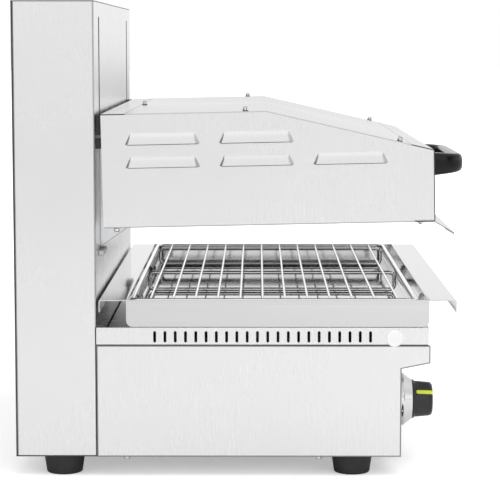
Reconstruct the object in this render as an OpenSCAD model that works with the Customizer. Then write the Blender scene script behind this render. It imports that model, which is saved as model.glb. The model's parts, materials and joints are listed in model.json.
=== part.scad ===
// Rise-and-fall salamander grill. A heated head rides up and down a rear column
// on two arms, over a base that carries a drip pan and a chromed wire grate.
// X runs left to right, the column's back faces +Y, the controls face -Y,
// Z is up from the table. Many profiles are drawn in a side plane, where the
// first number is the distance forward of the column's back and the second is
// the height.

/* [Overall] */
// Width over the louvers of the head
width = 600; // [520:10:700]
// Depth from the column's back to the tip of the handle
depth = 520; // [450:10:620]
// Height of the column's top above the table
height = 530; // [500:10:620]
// Thickness of the body's sheet
sheet = 1.2; // [0.8:0.1:1.6]
// Radius inside a fold of the sheet
fold_r = 1; // [0.4:0.1:1.6]

/* [Column] */
// Depth of the column, back to front
column_d = 91; // [80:1:110]
// How much narrower the column is than the base
column_inset = 3; // [0:0.5:10]
// Distance of each lift slot from the column's side
slot_inset = 67.5; // [55:0.5:110]
// Width of a lift slot
slot_w = 12; // [9:0.5:16]
// Clearance left at the slot's top and bottom when the head is at an end
slot_play = 2; // [0.5:0.5:4]
// Fold of the top cap, inside the column
cover_fold = 10; // [6:1:16]
// Turned-in edge that the column's rear cover is screwed to
rear_fold = 22; // [16:1:30]
// Height of the travel of the head
travel = 120; // [60:5:125]

/* [Base] */
// Height of the feet
foot_h = 22; // [15:1:35]
// Radius of a foot at its top
foot_r_top = 23.3; // [16:0.1:26]
// Radius of a foot where it stands
foot_r_low = 20; // [12:0.1:24]
// Distance of a foot's centre from the base's side
foot_x = 26; // [25:1:80]
// Distance of the rear feet from the column's back
foot_back = 52; // [30:1:80]
// Distance of the front feet behind the control panel
foot_front = 54; // [35:1:90]
// Thickness of the floor
floor_t = 1.5; // [1:0.1:3]
// Top of the vent band, which the pan stands on
deck_z = 168.3; // [150:0.1:200]
// Height of the vent band
band_h = 18.9; // [17:0.1:24]
// Seam between the vent band and the side panel
band_seam = 1.1; // [0.5:0.1:2]
// Height of the visor's front edge
visor_h = 20.1; // [12:0.1:26]
// How far the visor stands out from the control panel
visor_out = 32; // [20:1:40]
// Rise of the visor's sloping underside
visor_rise = 6.4; // [3:0.1:12]
// How far the vent band stops behind the visor's front
band_back = 1.9; // [0:0.1:4]
// Distance from the tip of the handle back to the visor's front
base_setback = 56.3; // [40:0.1:80]

/* [Vents] */
// Plain stretch at each end of the vent band
vent_margin = 65; // [60:1:100]
// Pitch of the vent slots
vent_pitch = 11.45; // [8:0.05:14]
// Width of a vent slot
vent_w = 3.2; // [2:0.1:5]
// Height of a vent slot
vent_l = 12.8; // [8:0.1:14]
// Distance of the plug's centre from the visor's front
plug_back = 40.4; // [30:0.1:60]
// Radius of the plug's cap
plug_r = 9.5; // [6:0.1:12]
// Thickness of the plug's cap
plug_t = 1.5; // [1:0.1:2.4]

/* [Controls] */
// Distance of a knob from the base's side
knob_x = 86.5; // [50:0.5:140]
// Height of the knobs above the table
knob_z = 72; // [65:1:90]
// Radius of the knob at its root
knob_r = 21; // [16:0.1:24]
// Radius of the knob at its face
knob_face_r = 19.2; // [14:0.1:22]
// Length of the knob in front of its flange
knob_l = 21.4; // [14:0.1:28]
// Radius of the bezel's rim
bezel_r = 30.5; // [25:0.1:36]
// Height of the bezel's rim
bezel_rim = 8; // [3:0.5:12]
// Height of the whole bezel
bezel_h = 18; // [12:0.5:20]
// Where the pointer stands, turned from the top towards the left
pointer_turn = 64; // [0:1:90]
// Width of the pointer
pointer_w = 4.6; // [2:0.1:6]
// Radius of the regulator's shaft
shaft_r = 3; // [2.5:0.1:4]
// Clearance round a turning shaft
run_fit = 0.06; // [0.03:0.01:0.1]

/* [Head] */
// Gap between the column and the head at the head's foot
head_gap = 9; // [8:0.1:16]
// Height of the head's rear lower edge above the table
head_z = 278.9; // [262:0.1:290]
// Nose-up pitch of the head in degrees
pitch = 1.2; // [0:0.1:1.6]
// Height of the head at the back
head_rear_h = 126.4; // [110:0.1:126.4]
// Height of the head at the front
head_front_h = 80; // [72:0.1:100]
// Length of the head's flat top
head_flat = 183; // [120:1:200]
// Length of the strip behind the top cover
strip_l = 27; // [18:1:40]
// Length of the top strip of the front panel, along the head
nose_l = 25; // [15:1:40]
// Turned-in rear and front edges of the head's underside
under_fold = 22; // [20:1:26]
// Length of a louver along its open edge
louver_l = 81; // [50:1:100]
// Length of a louver along its closed edge
louver_top = 69; // [40:1:81]
// Height of a louver
louver_h = 12.5; // [8:0.1:16]
// How far a louver stands out
louver_out = 5; // [3:0.5:7]
// Gap between two louvers of a row
louver_gap = 22.8; // [12:0.1:40]
// Height of the upper row's open edge in the head
louver_v = 92.3; // [80:0.1:96]
// Distance between the two rows
louver_row = 25.5; // [18:0.1:30]
// Reach of the front lip in front of the head
lip_out = 22; // [10:1:30]
// Fall of the front lip
lip_fall = 13.5; // [5:0.5:20]

/* [Handle] */
// Length of the handle
handle_l = 218; // [150:1:300]
// How far the handle stands out
handle_out = 53; // [40:1:60]
// Thickness of the grip bar
handle_bar = 17; // [12:1:22]
// Height of the handle where it meets the head
handle_h = 28; // [20:1:36]
// Height of the grip bar at its front
handle_tip_h = 19; // [12:1:28]
// Height of the handle's middle in the head
handle_v = 50; // [40:1:56]

/* [Heating] */
// Number of straight runs in each heater, an even number
heater_runs = 6; // [4:2:8]
// Distance of the reflector's ends from the head's sides
reflector_side = 30; // [25:1:50]
// Radius of the heater's tube
heater_r = 4; // [3:0.5:5]
// Height of the heaters in the head
heater_v = 20; // [14:1:26]
// Height of the reflector's roof in the head
reflector_v = 42; // [36:1:50]
// Thickness of the insulation
wool_t = 22; // [10:1:24]

/* [Lift] */
// Thickness of an arm
arm_t = 4; // [3:0.5:6]
// Reach of the gusset under the head, from the column's face
gusset_l = 44; // [30:1:60]
// Radius of a guide roller
roller_r = 11; // [9:0.5:12]
// Width of a guide roller
roller_w = 8; // [6:0.5:10]
// Thickness of the guide rail
rail_t = 2; // [1.5:0.5:3]
// Clearance between a roller and its rail
roller_play = 0.35; // [0.3:0.05:0.6]
// Radius of a roller's pin
pin_r = 4; // [3:0.5:5]
// Distance of the gas springs from the middle
spring_x = 150; // [80:1:180]
// Outer radius of a gas spring
spring_r = 11; // [9:0.5:13]
// Radius of a gas spring's rod
rod_r = 4; // [3:0.5:5]

/* [Pan and grate] */
// Distance of the pan's side from the base's side
pan_inset = 3.5; // [2:0.5:20]
// Height of the pan's rim above its floor's underside
pan_h = 30.4; // [27:0.1:40]
// Width of the pan's flanges, front and back
pan_flange = 30.6; // [20:0.1:36]
// Drop of each flange's turned-down lip
pan_lip = 14; // [8:1:18]
// Gap between the pan's rear flange and the column
pan_gap = 2.6; // [1:0.1:6]
// Distance from the visor's front to the pan's front edge
pan_over = 29.1; // [15:0.1:35]
// Clearance under a piece that is only set down
rest_gap = 0.3; // [0.3:0.05:0.5]
// Radius of the grate's cross wires
wire_r = 1.4; // [1:0.1:2]
// Number of the grate's cross wires
wire_n = 12; // [8:1:14]
// Radius of the grate's rails and end rods
rod_wire_r = 2.5; // [2:0.1:3]
// Distance from an end rod to the nearest cross wire
wire_margin = 20.3; // [14:0.1:26]
// Height of a rail's loop between its two runs
loop_h = 21.4; // [18:0.1:30]
// Bend radius of a rail's corners
loop_r = 6; // [4:0.1:9]
// Radius inside the pan's lower corners
pan_r = 6; // [3:0.5:9]
// Distance of a rail's end from the end rod
loop_margin = 15; // [10:0.5:20]
// How far a welded wire sinks into the wire under it
weld = 0.3; // [0.1:0.05:0.4]
// Distance of the pan's wall from an end rod
grate_gap = 6; // [4:0.5:12]

/* [Hidden] */
$fn = 48;

// Overall
base_w = width - 2 * plug_t;
head_w = width - 2 * louver_out;
column_w = base_w - column_inset;
slot_x = column_w / 2 - slot_inset;
rear_y = depth / 2;
base_inner = base_w / 2 - sheet;

// Base, along its depth
visor_d = depth - base_setback;
panel_d = visor_d - visor_out;
band_d = visor_d - band_back;
side_top = deck_z - band_h - band_seam;
floor_z = foot_h + floor_t;
vent_n = floor((band_d - column_d - 2 * vent_margin) / vent_pitch) + 1;
foot_d = [foot_back, panel_d - foot_front];
floor_screw_d = foot_d + [72, -38];
vent_z = deck_z - band_h / 2 - 0.8;
plug_z = vent_z - 1.8;
plug_stem_r = 4.8;
plug_hole_r = 5;
fold = 12;
screw_head_r = 4;
screw_head_h = 2.4;
screw_r = 1.9;
screw_l = 7;
bolt_r = 3;
bolt_hole_r = 3.2;
bolt_head_h = 3;
bolt_nut_h = 4.8;
bolt_v = [20, 60, 100];
arm_foot_t = 3;

// Head, in its own pitched frame
head_d = column_d + head_gap;
tip_low = handle_v - handle_tip_h / 2;
head_len = (depth - head_d - handle_out * cos(pitch) + tip_low * sin(pitch)) / cos(pitch);
slope_run = head_len - head_flat;
slope_fall = head_rear_h - head_front_h;
slope_a = atan(slope_fall / slope_run);
knee_in = head_flat - sheet * tan(slope_a / 2);
seam_u = head_len - nose_l;
louver_side = (louver_l - louver_top) / 2;
louver_step = louver_l + louver_gap;
louver_first = 67.6;
louver_end = 45;
louver_cols = floor((head_len - louver_first + louver_l / 2 + louver_gap - louver_end) / louver_step);

// Heating, in the head's frame; the pitch is rounded to half a millimetre
reflector_u = [24, head_len - 24];
reflector_w = head_w - 2 * reflector_side;
reflector_slope = 10;
heater_pitch = floor((reflector_w - 2) / heater_runs) / 2;
heater_mid = heater_runs * heater_pitch / 2;
heater_u = [48, head_len - 52];
bracket_u = [95, head_len - 95];
bracket_t = 1.5;

// Lift
rail_w = 2 * (roller_r + roller_play + rail_t);
rail_d = (column_d + 13) / 2;
shell_in = column_w / 2 - sheet;
rail_web = shell_in - rail_t;
pin_head_t = 1.8;
pin_gap = 0.5;
roller_out = rail_web - pin_gap - pin_head_t - roller_play;
roller_in = roller_out - roller_w;
plate_out = roller_in - roller_play;
plate_t = 3;
rail_depth = rail_web + rail_t - plate_out + 1;
arm_low = head_z - 26;
arm_high = head_z + 112;
slot_low = arm_low - slot_play;
slot_high = arm_high + travel + slot_play;
roller_z = [arm_low + 22, arm_high - 16];
bar_z = (arm_low + arm_high) / 2 - 5;
bar_h = 30;
bar_d = 16;
bar_t = 2;
plate_w = 2 * (roller_r - 2);
rail_low = floor_z + 200;
rail_high = roller_z[1] + travel + roller_r + 12;
spring_low = floor_z + 16;
spring_high = bar_z - bar_h / 2 - 30;
piston_z = spring_high - travel - 30;
piston_t = 6;
bore_r = spring_r - 2;

// Pan and grate, along the base's depth
pan_w = base_w - 2 * pan_inset;
pan_front = visor_d + pan_over;
pan_back = column_d + pan_gap;
pan_z = deck_z + rest_gap;
rim_z = pan_z + pan_h;
tray_back = pan_back + pan_flange;
tray_front = pan_front - pan_flange;
loop_z = pan_z + sheet + rest_gap + rod_wire_r;
loop_top = loop_z + loop_h;
wire_z = loop_top + rod_wire_r + wire_r - weld;
grate_back = tray_back + grate_gap;
grate_front = tray_front - grate_gap - 8;
wire_pitch = (grate_front - grate_back - 2 * wire_margin) / (wire_n - 1);
wire_len = pan_w - 2 * sheet - 6;
frame_r = 10;
loop_x = wire_len / 2 - rod_wire_r - 8;

// Controls
bezel_t = 1.2;
flange_t = 2;
flange_r = knob_r + 1.6;
knob_gap = 0.4;
knob_root = bezel_h + knob_gap;
knob_tip = knob_root + flange_t + knob_l;
knob_corner = 4;
pointer_t = 0.8;
socket_l = 12;
regulator = [40, 30, 40];
regulator_neck_r = 6;
lamp_r = 5;
lamp_x = 55;

// Back
gland_x = -180;
gland_z = 62;
gland_r = 5;

// ---- Shared helpers ----

function unit(v) = v / norm(v);
function left_of(v) = [-v[1], v[0]];

// A point of a bent sheet's path moved to the left of the path by t, mitred.
function mitred(p, i, t) =
  let (
    into = i == 0 ? p[1] - p[0] : p[i] - p[i - 1],
    out = i == len(p) - 1 ? into : p[i + 1] - p[i],
    n1 = left_of(unit(into)),
    n2 = left_of(unit(out))
  )
  p[i] + (n1 + n2) * (t / (1 + n1 * n2));

// The outline of a thick plate bent sharply along a path.
function bent(p, t) = concat(p, [for (i = [len(p) - 1:-1:0]) mitred(p, i, t)]);

function spun(v, a) = [v[0] * cos(a) - v[1] * sin(a), v[0] * sin(a) + v[1] * cos(a)];

// The points of a fold at point i of a path, in steps of about ten degrees. The sheet's thickness t is
// positive to the left of the path, r is the radius inside the fold, and far picks the sheet's other face.
function fold_points(p, i, t, r, far) =
  let (
    into = unit(p[i] - p[i - 1]),
    out = unit(p[i + 1] - p[i]),
    side = sign(cross(into, out)),
    angle = acos(into * out),
    near_r = side * t > 0 ? r + abs(t) : r,
    this_r = far ? near_r - side * t : near_r,
    centre = p[i] + (left_of(into) * side - into * tan(angle / 2)) * near_r,
    steps = ceil(angle / 10)
  )
  [for (k = [0:steps]) centre - spun(left_of(into), side * angle * k / steps) * side * this_r];

// One face of a sheet that is folded along a path, with the radius r[i] inside the fold at point i.
function sheet_face(p, t, r, far) = [for (i = [0:len(p) - 1]) each
  i > 0 && i < len(p) - 1
    ? fold_points(p, i, t, r[i], far)
    : [p[i] + left_of(unit(i == 0 ? p[1] - p[0] : p[i] - p[i - 1])) * (far ? t : 0)]];

function reversed(v) = [for (i = [len(v) - 1:-1:0]) v[i]];

// The outline of a sheet of thickness t that is folded along a path.
function folded(p, t = sheet, r = []) =
  let (radii = len(r) > 0 ? r : [for (i = p) fold_r])
  concat(sheet_face(p, t, radii, false), reversed(sheet_face(p, t, radii, true)));

// Height of the head's top over a place u along the head.
function top_v(u) = head_rear_h - max(0, u - head_flat) * slope_fall / slope_run;

// Height of the underside of the head's top sheet at u.
function under_top(u) = u <= knee_in ? head_rear_h - sheet : top_v(u) - sheet / cos(slope_a);

// Extrudes a side-plane outline along X: its first number runs forward.
module along_x(w) {
  rotate([90, 0, -90]) linear_extrude(w, center = true) children();
}

// Moves side-plane work to the column's back.
module stand_frame() {
  translate([0, rear_y, 0]) children();
}

// The head's pitched frame, from its rear lower edge.
module head_frame() {
  translate([0, rear_y - head_d, head_z]) rotate([-pitch, 0, 0]) children();
}

// A block given by its ranges: across, forward of the current frame, and up.
module slab(x, d, z) {
  translate([x[0], -d[1], z[0]]) cube([x[1] - x[0], d[1] - d[0], z[1] - z[0]]);
}

// Turns its children, made for the left, into the right-hand ones.
module handed(right) {
  if (right) mirror([1, 0, 0]) children();
  else children();
}

// A pan-head screw standing on z = 0 with its shank below.
module pan_screw(r = screw_head_r, h = screw_head_h, l = screw_l, shank = screw_r - 0.2) {
  difference() {
    union() {
      cylinder(h = h * 0.55, r = r);
      translate([0, 0, h * 0.55]) cylinder(h = h * 0.45, r1 = r, r2 = r * 0.72);
    }
    for (a = [0, 90]) rotate(a) translate([-r * 0.5, -0.4, h - 1]) cube([r, 0.8, 2]);
  }
  translate([0, 0, -l]) cylinder(h = l, r = shank);
}

// The cone of a flat screw's head, flush with the sheet it is sunk in.
module countersink() {
  cylinder(h = sheet, r1 = screw_r, r2 = screw_r + 2);
}

module screw_hole() {
  translate([0, 0, -15]) cylinder(h = 30, r = screw_r);
}

module bolt_hole() {
  translate([0, 0, -15]) cylinder(h = 30, r = bolt_hole_r);
}

// ---- Places that repeat ----

module at_feet() {
  for (x = [-1, 1], d = foot_d)
    translate([x * (base_w / 2 - foot_x), rear_y - d, 0]) children();
}

module at_floor_screws() {
  for (x = [-1, 1], d = floor_screw_d)
    translate([x * (base_inner - fold / 2 - 1), rear_y - d, foot_h]) rotate([180, 0, 0]) children();
}

module at_cover_screws() {
  head_frame() {
    translate([0, -strip_l - 5, head_rear_h]) children();
    for (x = [-1, 1]) {
      translate([x * (head_w / 2 - 9), -(head_flat - 23), head_rear_h]) children();
      translate([x * (head_w / 2 - 9), -(seam_u - 13), top_v(seam_u - 13)])
        rotate([slope_a, 0, 0]) children();
    }
  }
}

module at_underside_screws() {
  head_frame() for (x = [-1, 1]) {
    translate([x * (head_w / 2 - 8), -14, 0]) rotate([180, 0, 0]) children();
    translate([x * (head_w / 2 - 40), -(head_len - 13), -sheet]) rotate([180, 0, 0]) children();
  }
}

module at_rear_screws() {
  for (x = [-1, 1], z = [floor_z + 20, (floor_z + height) / 2, height - 25])
    translate([x * (column_w / 2 - rear_fold / 2), rear_y, z]) rotate([-90, 0, 0]) children();
}

module at_handle_screws() {
  head_frame() for (x = [-1, 1])
    translate([x * (handle_l - handle_bar) / 2, -head_len + sheet, handle_v])
      rotate([-90, 0, 0]) children();
}

module at_arm_bolts(right) {
  handed(right) head_frame() for (v = bolt_v)
    translate([-slot_x + arm_t / 2 + 14, arm_foot_t, v]) rotate([-90, 0, 0]) children();
}

module at_knob(right) {
  x = base_w / 2 - knob_x;
  translate([right ? x : -x, rear_y - panel_d, knob_z]) rotate([90, 0, 0]) children();
}

module at_lamps() {
  for (x = [-1, 1])
    translate([x * (base_w / 2 - knob_x - lamp_x), rear_y - panel_d, knob_z])
      rotate([90, 0, 0]) children();
}

// ---- Base ----

module floor_pan() color("lightgray") difference() {
  stand_frame() slab([-base_inner, base_inner], [0, panel_d - sheet], [foot_h, floor_z]);
  at_feet() cylinder(h = floor_z + 1, r = bolt_hole_r);
  at_floor_screws() screw_hole();
}

function side_outline() = [
  [column_d, foot_h], [panel_d, foot_h], [panel_d, side_top - visor_h - visor_rise],
  [visor_d, side_top - visor_h], [visor_d, side_top], [column_d, side_top]
];

// A side panel with its turned-in edges: the upper one carries the lid, the lower one stands on the floor.
module base_side(right) color("silver") difference() {
  handed(right) stand_frame() {
    translate([-base_inner - sheet / 2, 0, 0]) along_x(sheet) polygon(side_outline());
    slab([-base_inner - sheet, -base_inner + fold], [column_d, visor_d - sheet],
         [side_top - sheet, side_top]);
    slab([-base_inner - sheet, -base_inner + fold], [column_d, panel_d - fold - sheet],
         [floor_z, floor_z + sheet]);
  }
  at_floor_screws() screw_hole();
}

module front_panel() color("silver") difference() {
  stand_frame() along_x(2 * base_inner) polygon(folded([
    [panel_d - fold, floor_z], [panel_d, floor_z],
    [panel_d, side_top - visor_h - visor_rise], [visor_d, side_top - visor_h],
    [visor_d, side_top - sheet], [visor_d - fold, side_top - sheet]
  ]));
  for (r = [false, true])
    at_knob(r) translate([0, 0, -5]) cylinder(h = 10, r = regulator_neck_r + 0.2);
  at_lamps() translate([0, 0, -5]) cylinder(h = 10, r = lamp_r - 0.8);
}

module vent_slot() {
  straight = (vent_l - vent_w) / 2;
  square([vent_w, 2 * straight], center = true);
  for (s = [-1, 1]) translate([0, s * straight]) circle(vent_w / 2);
}

module base_lid() color("silver") stand_frame() difference() {
  mid_d = (column_d + band_d) / 2;
  skirt_z = deck_z - band_h;
  union() {
    slab([-base_w / 2, base_w / 2], [column_d, band_d], [skirt_z, deck_z]);
    // the turned-in rim, set back so that a shadow gap shows under the band
    slab([-base_w / 2 + 1, base_w / 2 - 1], [column_d, band_d - 1], [side_top, skirt_z]);
  }
  slab([-base_inner, base_inner], [column_d - 1, band_d - sheet], [skirt_z + sheet, deck_z - sheet]);
  slab([-base_inner + fold, base_inner - fold], [column_d - 1, band_d - fold],
       [side_top - 1, deck_z - sheet]);
  along_x(base_w + 2)
    for (i = [0:vent_n - 1])
      translate([mid_d + (i - (vent_n - 1) / 2) * vent_pitch, vent_z]) vent_slot();
  translate([-base_w / 2, -(visor_d - plug_back), plug_z])
    rotate([0, 90, 0]) cylinder(h = 10, r = plug_hole_r, center = true);
}

module hole_plug() color("white")
  translate([-base_w / 2, rear_y - visor_d + plug_back, plug_z]) rotate([0, -90, 0]) {
    rotate_extrude() polygon([
      [0, 0], [plug_r, 0], [plug_r, plug_t * 0.5], [plug_r - 1.2, plug_t], [0, plug_t]
    ]);
    translate([0, 0, -4]) cylinder(h = 4, r = plug_stem_r);
  }

module feet() color("dimgray") at_feet() difference() {
  cylinder(h = foot_h, r1 = foot_r_low, r2 = foot_r_top);
  translate([0, 0, -1]) cylinder(h = 13, r = 9);
  cylinder(h = foot_h + 1, r = bolt_hole_r);
}

module foot_screws() color("silver") at_feet() {
  translate([0, 0, 8]) cylinder(h = 4, r = 6);
  translate([0, 0, 8]) cylinder(h = floor_z - 3, r = bolt_r);
  translate([0, 0, floor_z]) cylinder(h = 5, r = 5.6, $fn = 6);
}

module floor_screws() color("silver") at_floor_screws() pan_screw();

// ---- Controls ----

module bezel(right) color("silver") at_knob(right) rotate_extrude() polygon([
  [bezel_r - bezel_t, 0], [bezel_r, 0], [bezel_r, bezel_rim],
  [flange_r + 0.2, bezel_h], [8, bezel_h], [8, bezel_h - bezel_t],
  [flange_r - 0.6, bezel_h - bezel_t], [bezel_r - bezel_t, bezel_rim - 0.7]
]);

module knob_solid() rotate_extrude() {
  polygon([
    [0, knob_root], [flange_r, knob_root], [flange_r, knob_root + flange_t],
    [knob_r, knob_root + flange_t], [knob_face_r, knob_tip - knob_corner],
    [knob_face_r - knob_corner, knob_tip - knob_corner],
    [knob_face_r - knob_corner, knob_tip], [0, knob_tip]
  ]);
  translate([knob_face_r - knob_corner, knob_tip - knob_corner]) intersection() {
    circle(knob_corner);
    square(knob_corner);
  }
}

// The strip of the pointer, from the knob's flange forward along its side and over its edge.
module pointer_bar() rotate(pointer_turn)
  translate([-pointer_w / 2, knob_face_r - pointer_t - 1, knob_root + flange_t + 1])
    cube([pointer_w, knob_r, knob_tip - knob_root - flange_t - 1]);

module knob(right) color("black") at_knob(right) difference() {
  knob_solid();
  pointer_bar();
  translate([0, 0, knob_root - 1]) cylinder(h = socket_l + 1, r = shaft_r);
}

module pointer(right) color("yellowgreen") at_knob(right) intersection() {
  knob_solid();
  pointer_bar();
}

module shaft(right) color("goldenrod") at_knob(right)
  translate([0, 0, -20]) cylinder(h = knob_root + socket_l + 20, r = shaft_r);

module regulator_body(right) color("ivory") at_knob(right) difference() {
  union() {
    translate([-regulator[0] / 2, -regulator[2] / 2, -regulator[1] - sheet])
      cube([regulator[0], regulator[2], regulator[1]]);
    translate([0, 0, -sheet - 1]) cylinder(h = sheet + 7, r = regulator_neck_r);
  }
  translate([0, 0, -20.5]) cylinder(h = 40, r = shaft_r + run_fit);
}

module pilot_lamps() color("orange") at_lamps() {
  cylinder(h = 2, r = lamp_r + 1.2);
  translate([0, 0, 2]) cylinder(h = 3, r1 = lamp_r, r2 = lamp_r - 1.5);
  translate([0, 0, -18]) cylinder(h = 18, r = lamp_r - 1);
}

module terminal_block() color("beige") stand_frame() difference() {
  slab([-40, 40], [column_d + 30, column_d + 60], [floor_z, floor_z + 28]);
  for (x = [-30:15:30])
    translate([x, -column_d - 45, floor_z + 16]) cylinder(h = 20, r = 3.5);
}

module gland_hole() translate([gland_x, rear_y, gland_z]) rotate([90, 0, 0])
  translate([0, 0, -5]) cylinder(h = 30, r = 8);

// Cable gland through the rear cover, its body inside so that the back stays flat.
module cable_gland() color("dimgray") translate([gland_x, rear_y, gland_z])
  rotate([90, 0, 0]) difference() {
    union() {
      cylinder(h = 26, r = 8);
      translate([0, 0, sheet]) cylinder(h = 5, r = 11, $fn = 6);
    }
    translate([0, 0, -1]) cylinder(h = 28, r = gland_r);
  }

// ---- Column ----

module column_shell() color("silver") difference() {
  translate([0, 0, floor_z]) linear_extrude(height - sheet - floor_z) polygon(folded([
    [-column_w / 2 + rear_fold, rear_y - sheet], [-column_w / 2, rear_y - sheet],
    [-column_w / 2, rear_y - column_d], [column_w / 2, rear_y - column_d],
    [column_w / 2, rear_y - sheet], [column_w / 2 - rear_fold, rear_y - sheet]
  ]));
  at_rear_screws() translate([0, 0, -5]) cylinder(h = 5, r = screw_r);
  for (x = [-1, 1])
    translate([x * slot_x - slot_w / 2, rear_y - column_d - 1, slot_low])
      cube([slot_w, sheet + 2, slot_high - slot_low]);
}

module column_rear_cover() color("silver") difference() {
  stand_frame()
    slab([-column_w / 2, column_w / 2], [0, sheet], [floor_z, height - sheet]);
  at_rear_screws() translate([0, 0, -sheet]) countersink();
  gland_hole();
}

module column_top_cap() color("silver") stand_frame() {
  slab([-column_w / 2, column_w / 2], [0, column_d], [height - sheet, height]);
  for (d = [2 * sheet, column_d - 2 * sheet])
    slab([-shell_in + rear_fold, shell_in - rear_fold], [d, d + sheet],
         [height - sheet - cover_fold, height - sheet]);
}

module rear_screws() color("silver") at_rear_screws() {
  difference() {
    translate([0, 0, -sheet]) countersink();
    for (a = [0, 90]) rotate(a) translate([-2, -0.4, -0.6]) cube([4, 0.8, 2]);
  }
  translate([0, 0, -8]) cylinder(h = 8 - sheet, r = screw_r - 0.2);
}

module guide_rail(right) color("gray") handed(right) stand_frame()
  translate([0, 0, rail_low]) linear_extrude(rail_high - rail_low) polygon(folded([
    [-rail_web - rail_t + rail_depth, -rail_d - rail_w / 2],
    [-rail_web - rail_t, -rail_d - rail_w / 2],
    [-rail_web - rail_t, -rail_d + rail_w / 2],
    [-rail_web - rail_t + rail_depth, -rail_d + rail_w / 2]
  ], -rail_t));

module gas_cylinder(right) color("black") handed(right)
  translate([-spring_x, rear_y - rail_d, 0]) rotate_extrude() polygon([
    [0, floor_z], [6, floor_z], [6, spring_low], [spring_r, spring_low],
    [spring_r, spring_high], [rod_r + 0.1, spring_high], [rod_r + 0.1, spring_high - 8],
    [bore_r, spring_high - 8], [bore_r, spring_low + 4], [0, spring_low + 4]
  ]);

module slot_stops() color("dimgray") stand_frame() for (x = [-1, 1])
  translate([x * (slot_x + 5), 0, 0])
    slab([-25, 25], [column_d, column_d + 6], [slot_low - 6.5, slot_low - 0.5]);

// ---- Lift ----

module lift_arm(right) color("gray") handed(right) {
  reach = column_d + gusset_l;
  difference() {
    union() {
      translate([-slot_x, 0, 0]) stand_frame() along_x(arm_t) polygon([
        [rail_d + bar_d / 2, arm_low], [column_d + 2, arm_low],
        [reach, head_z + 4], [reach, arm_high], [rail_d + bar_d / 2, arm_high]
      ]);
      translate([-slot_x + 6, 0, 0]) stand_frame() along_x(12 + arm_t)
        polygon(bent([[column_d + 2, arm_low], [reach, head_z + 4]], 3));
      translate([-slot_x, 0, 0]) head_frame()
        slab([-arm_t / 2, 24], [-arm_foot_t, 0], [6, 108]);
    }
    head_frame() slab([-slot_x - 60, -slot_x + 60], [0, 200], [0, 200]);
    at_arm_bolts(false) bolt_hole();
  }
}

module carriage() color("gray") stand_frame() {
  difference() {
    translate([0, -rail_d, bar_z]) cube([2 * (plate_out - plate_t), bar_d, bar_h], center = true);
    translate([0, -rail_d, bar_z])
      cube([2 * plate_out, bar_d - 2 * bar_t, bar_h - 2 * bar_t], center = true);
  }
  for (x = [-1, 1])
    translate([x * (plate_out - plate_t / 2), 0, 0])
      slab([-plate_t / 2, plate_t / 2], [rail_d - plate_w / 2, rail_d + plate_w / 2],
           [roller_z[0] - 14, roller_z[1] + 12]);
}

module at_roller(x, z) translate([x, rear_y - rail_d, z]) rotate([0, 90, 0]) children();

module roller_pins() color("silver") for (z = roller_z, s = [0, 1]) handed(s == 1) {
  at_roller(-rail_web + pin_gap, z) cylinder(h = pin_head_t, r = pin_r + 2);
  at_roller(-rail_web + pin_gap, z) cylinder(h = rail_web - pin_gap - plate_out, r = pin_r);
}

module roller(right, z) color("white") handed(right) at_roller(-roller_out, z) difference() {
  cylinder(h = roller_w, r = roller_r);
  translate([0, 0, -1]) cylinder(h = roller_w + 2, r = pin_r + run_fit);
}

module gas_rod(right) color("silver") handed(right) {
  top = bar_z - bar_h / 2;
  translate([-spring_x, rear_y - rail_d, piston_z]) cylinder(h = piston_t, r = bore_r - 0.1);
  translate([-spring_x, rear_y - rail_d, piston_z]) cylinder(h = top - piston_z, r = rod_r);
  translate([-spring_x, rear_y - rail_d, top - 8]) cylinder(h = 8, r = 7, $fn = 6);
}

module arm_bolts() color("silver") for (r = [false, true]) at_arm_bolts(r) {
  bolt_end = arm_foot_t + sheet + bolt_nut_h;
  cylinder(h = bolt_head_h, r = 5, $fn = 6);
  translate([0, 0, -bolt_end]) cylinder(h = bolt_end, r = bolt_r);
  translate([0, 0, -bolt_end]) cylinder(h = bolt_nut_h, r = 5, $fn = 6);
}

// ---- Head ----

// The louver's own solid: a wedge with slanted ends, grown inwards by g.
module louver_wedge(g = 0) {
  half = louver_l / 2;
  intersection() {
    along_x(2 * louver_out + 4) polygon([
      [-half + g, -g], [half - g, -g],
      [half - louver_side - g, louver_h - g], [-half + louver_side + g, louver_h - g]
    ]);
    rotate([90, 0, 0]) linear_extrude(louver_l + 4, center = true) polygon([
      [0.01, -1 - g], [-louver_out + g, -1 - g], [-louver_out + g, louver_h * 0.25],
      [0, louver_h - g], [g + 2, louver_h - g], [g + 2, -1 - g]
    ]);
  }
}

module at_louvers() {
  for (row = [0, 1], i = [0:louver_cols - 1 - (1 - row)])
    translate([-head_w / 2, -louver_first - i * louver_step, louver_v - row * louver_row])
      children();
}

function head_side_outline() = [
  [0, 0], [0, head_rear_h - sheet], [knee_in, head_rear_h - sheet],
  [head_len - sheet, under_top(head_len - sheet)], [head_len - sheet, sheet],
  [head_len - under_fold, sheet], [head_len - under_fold, 0]
];

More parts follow.
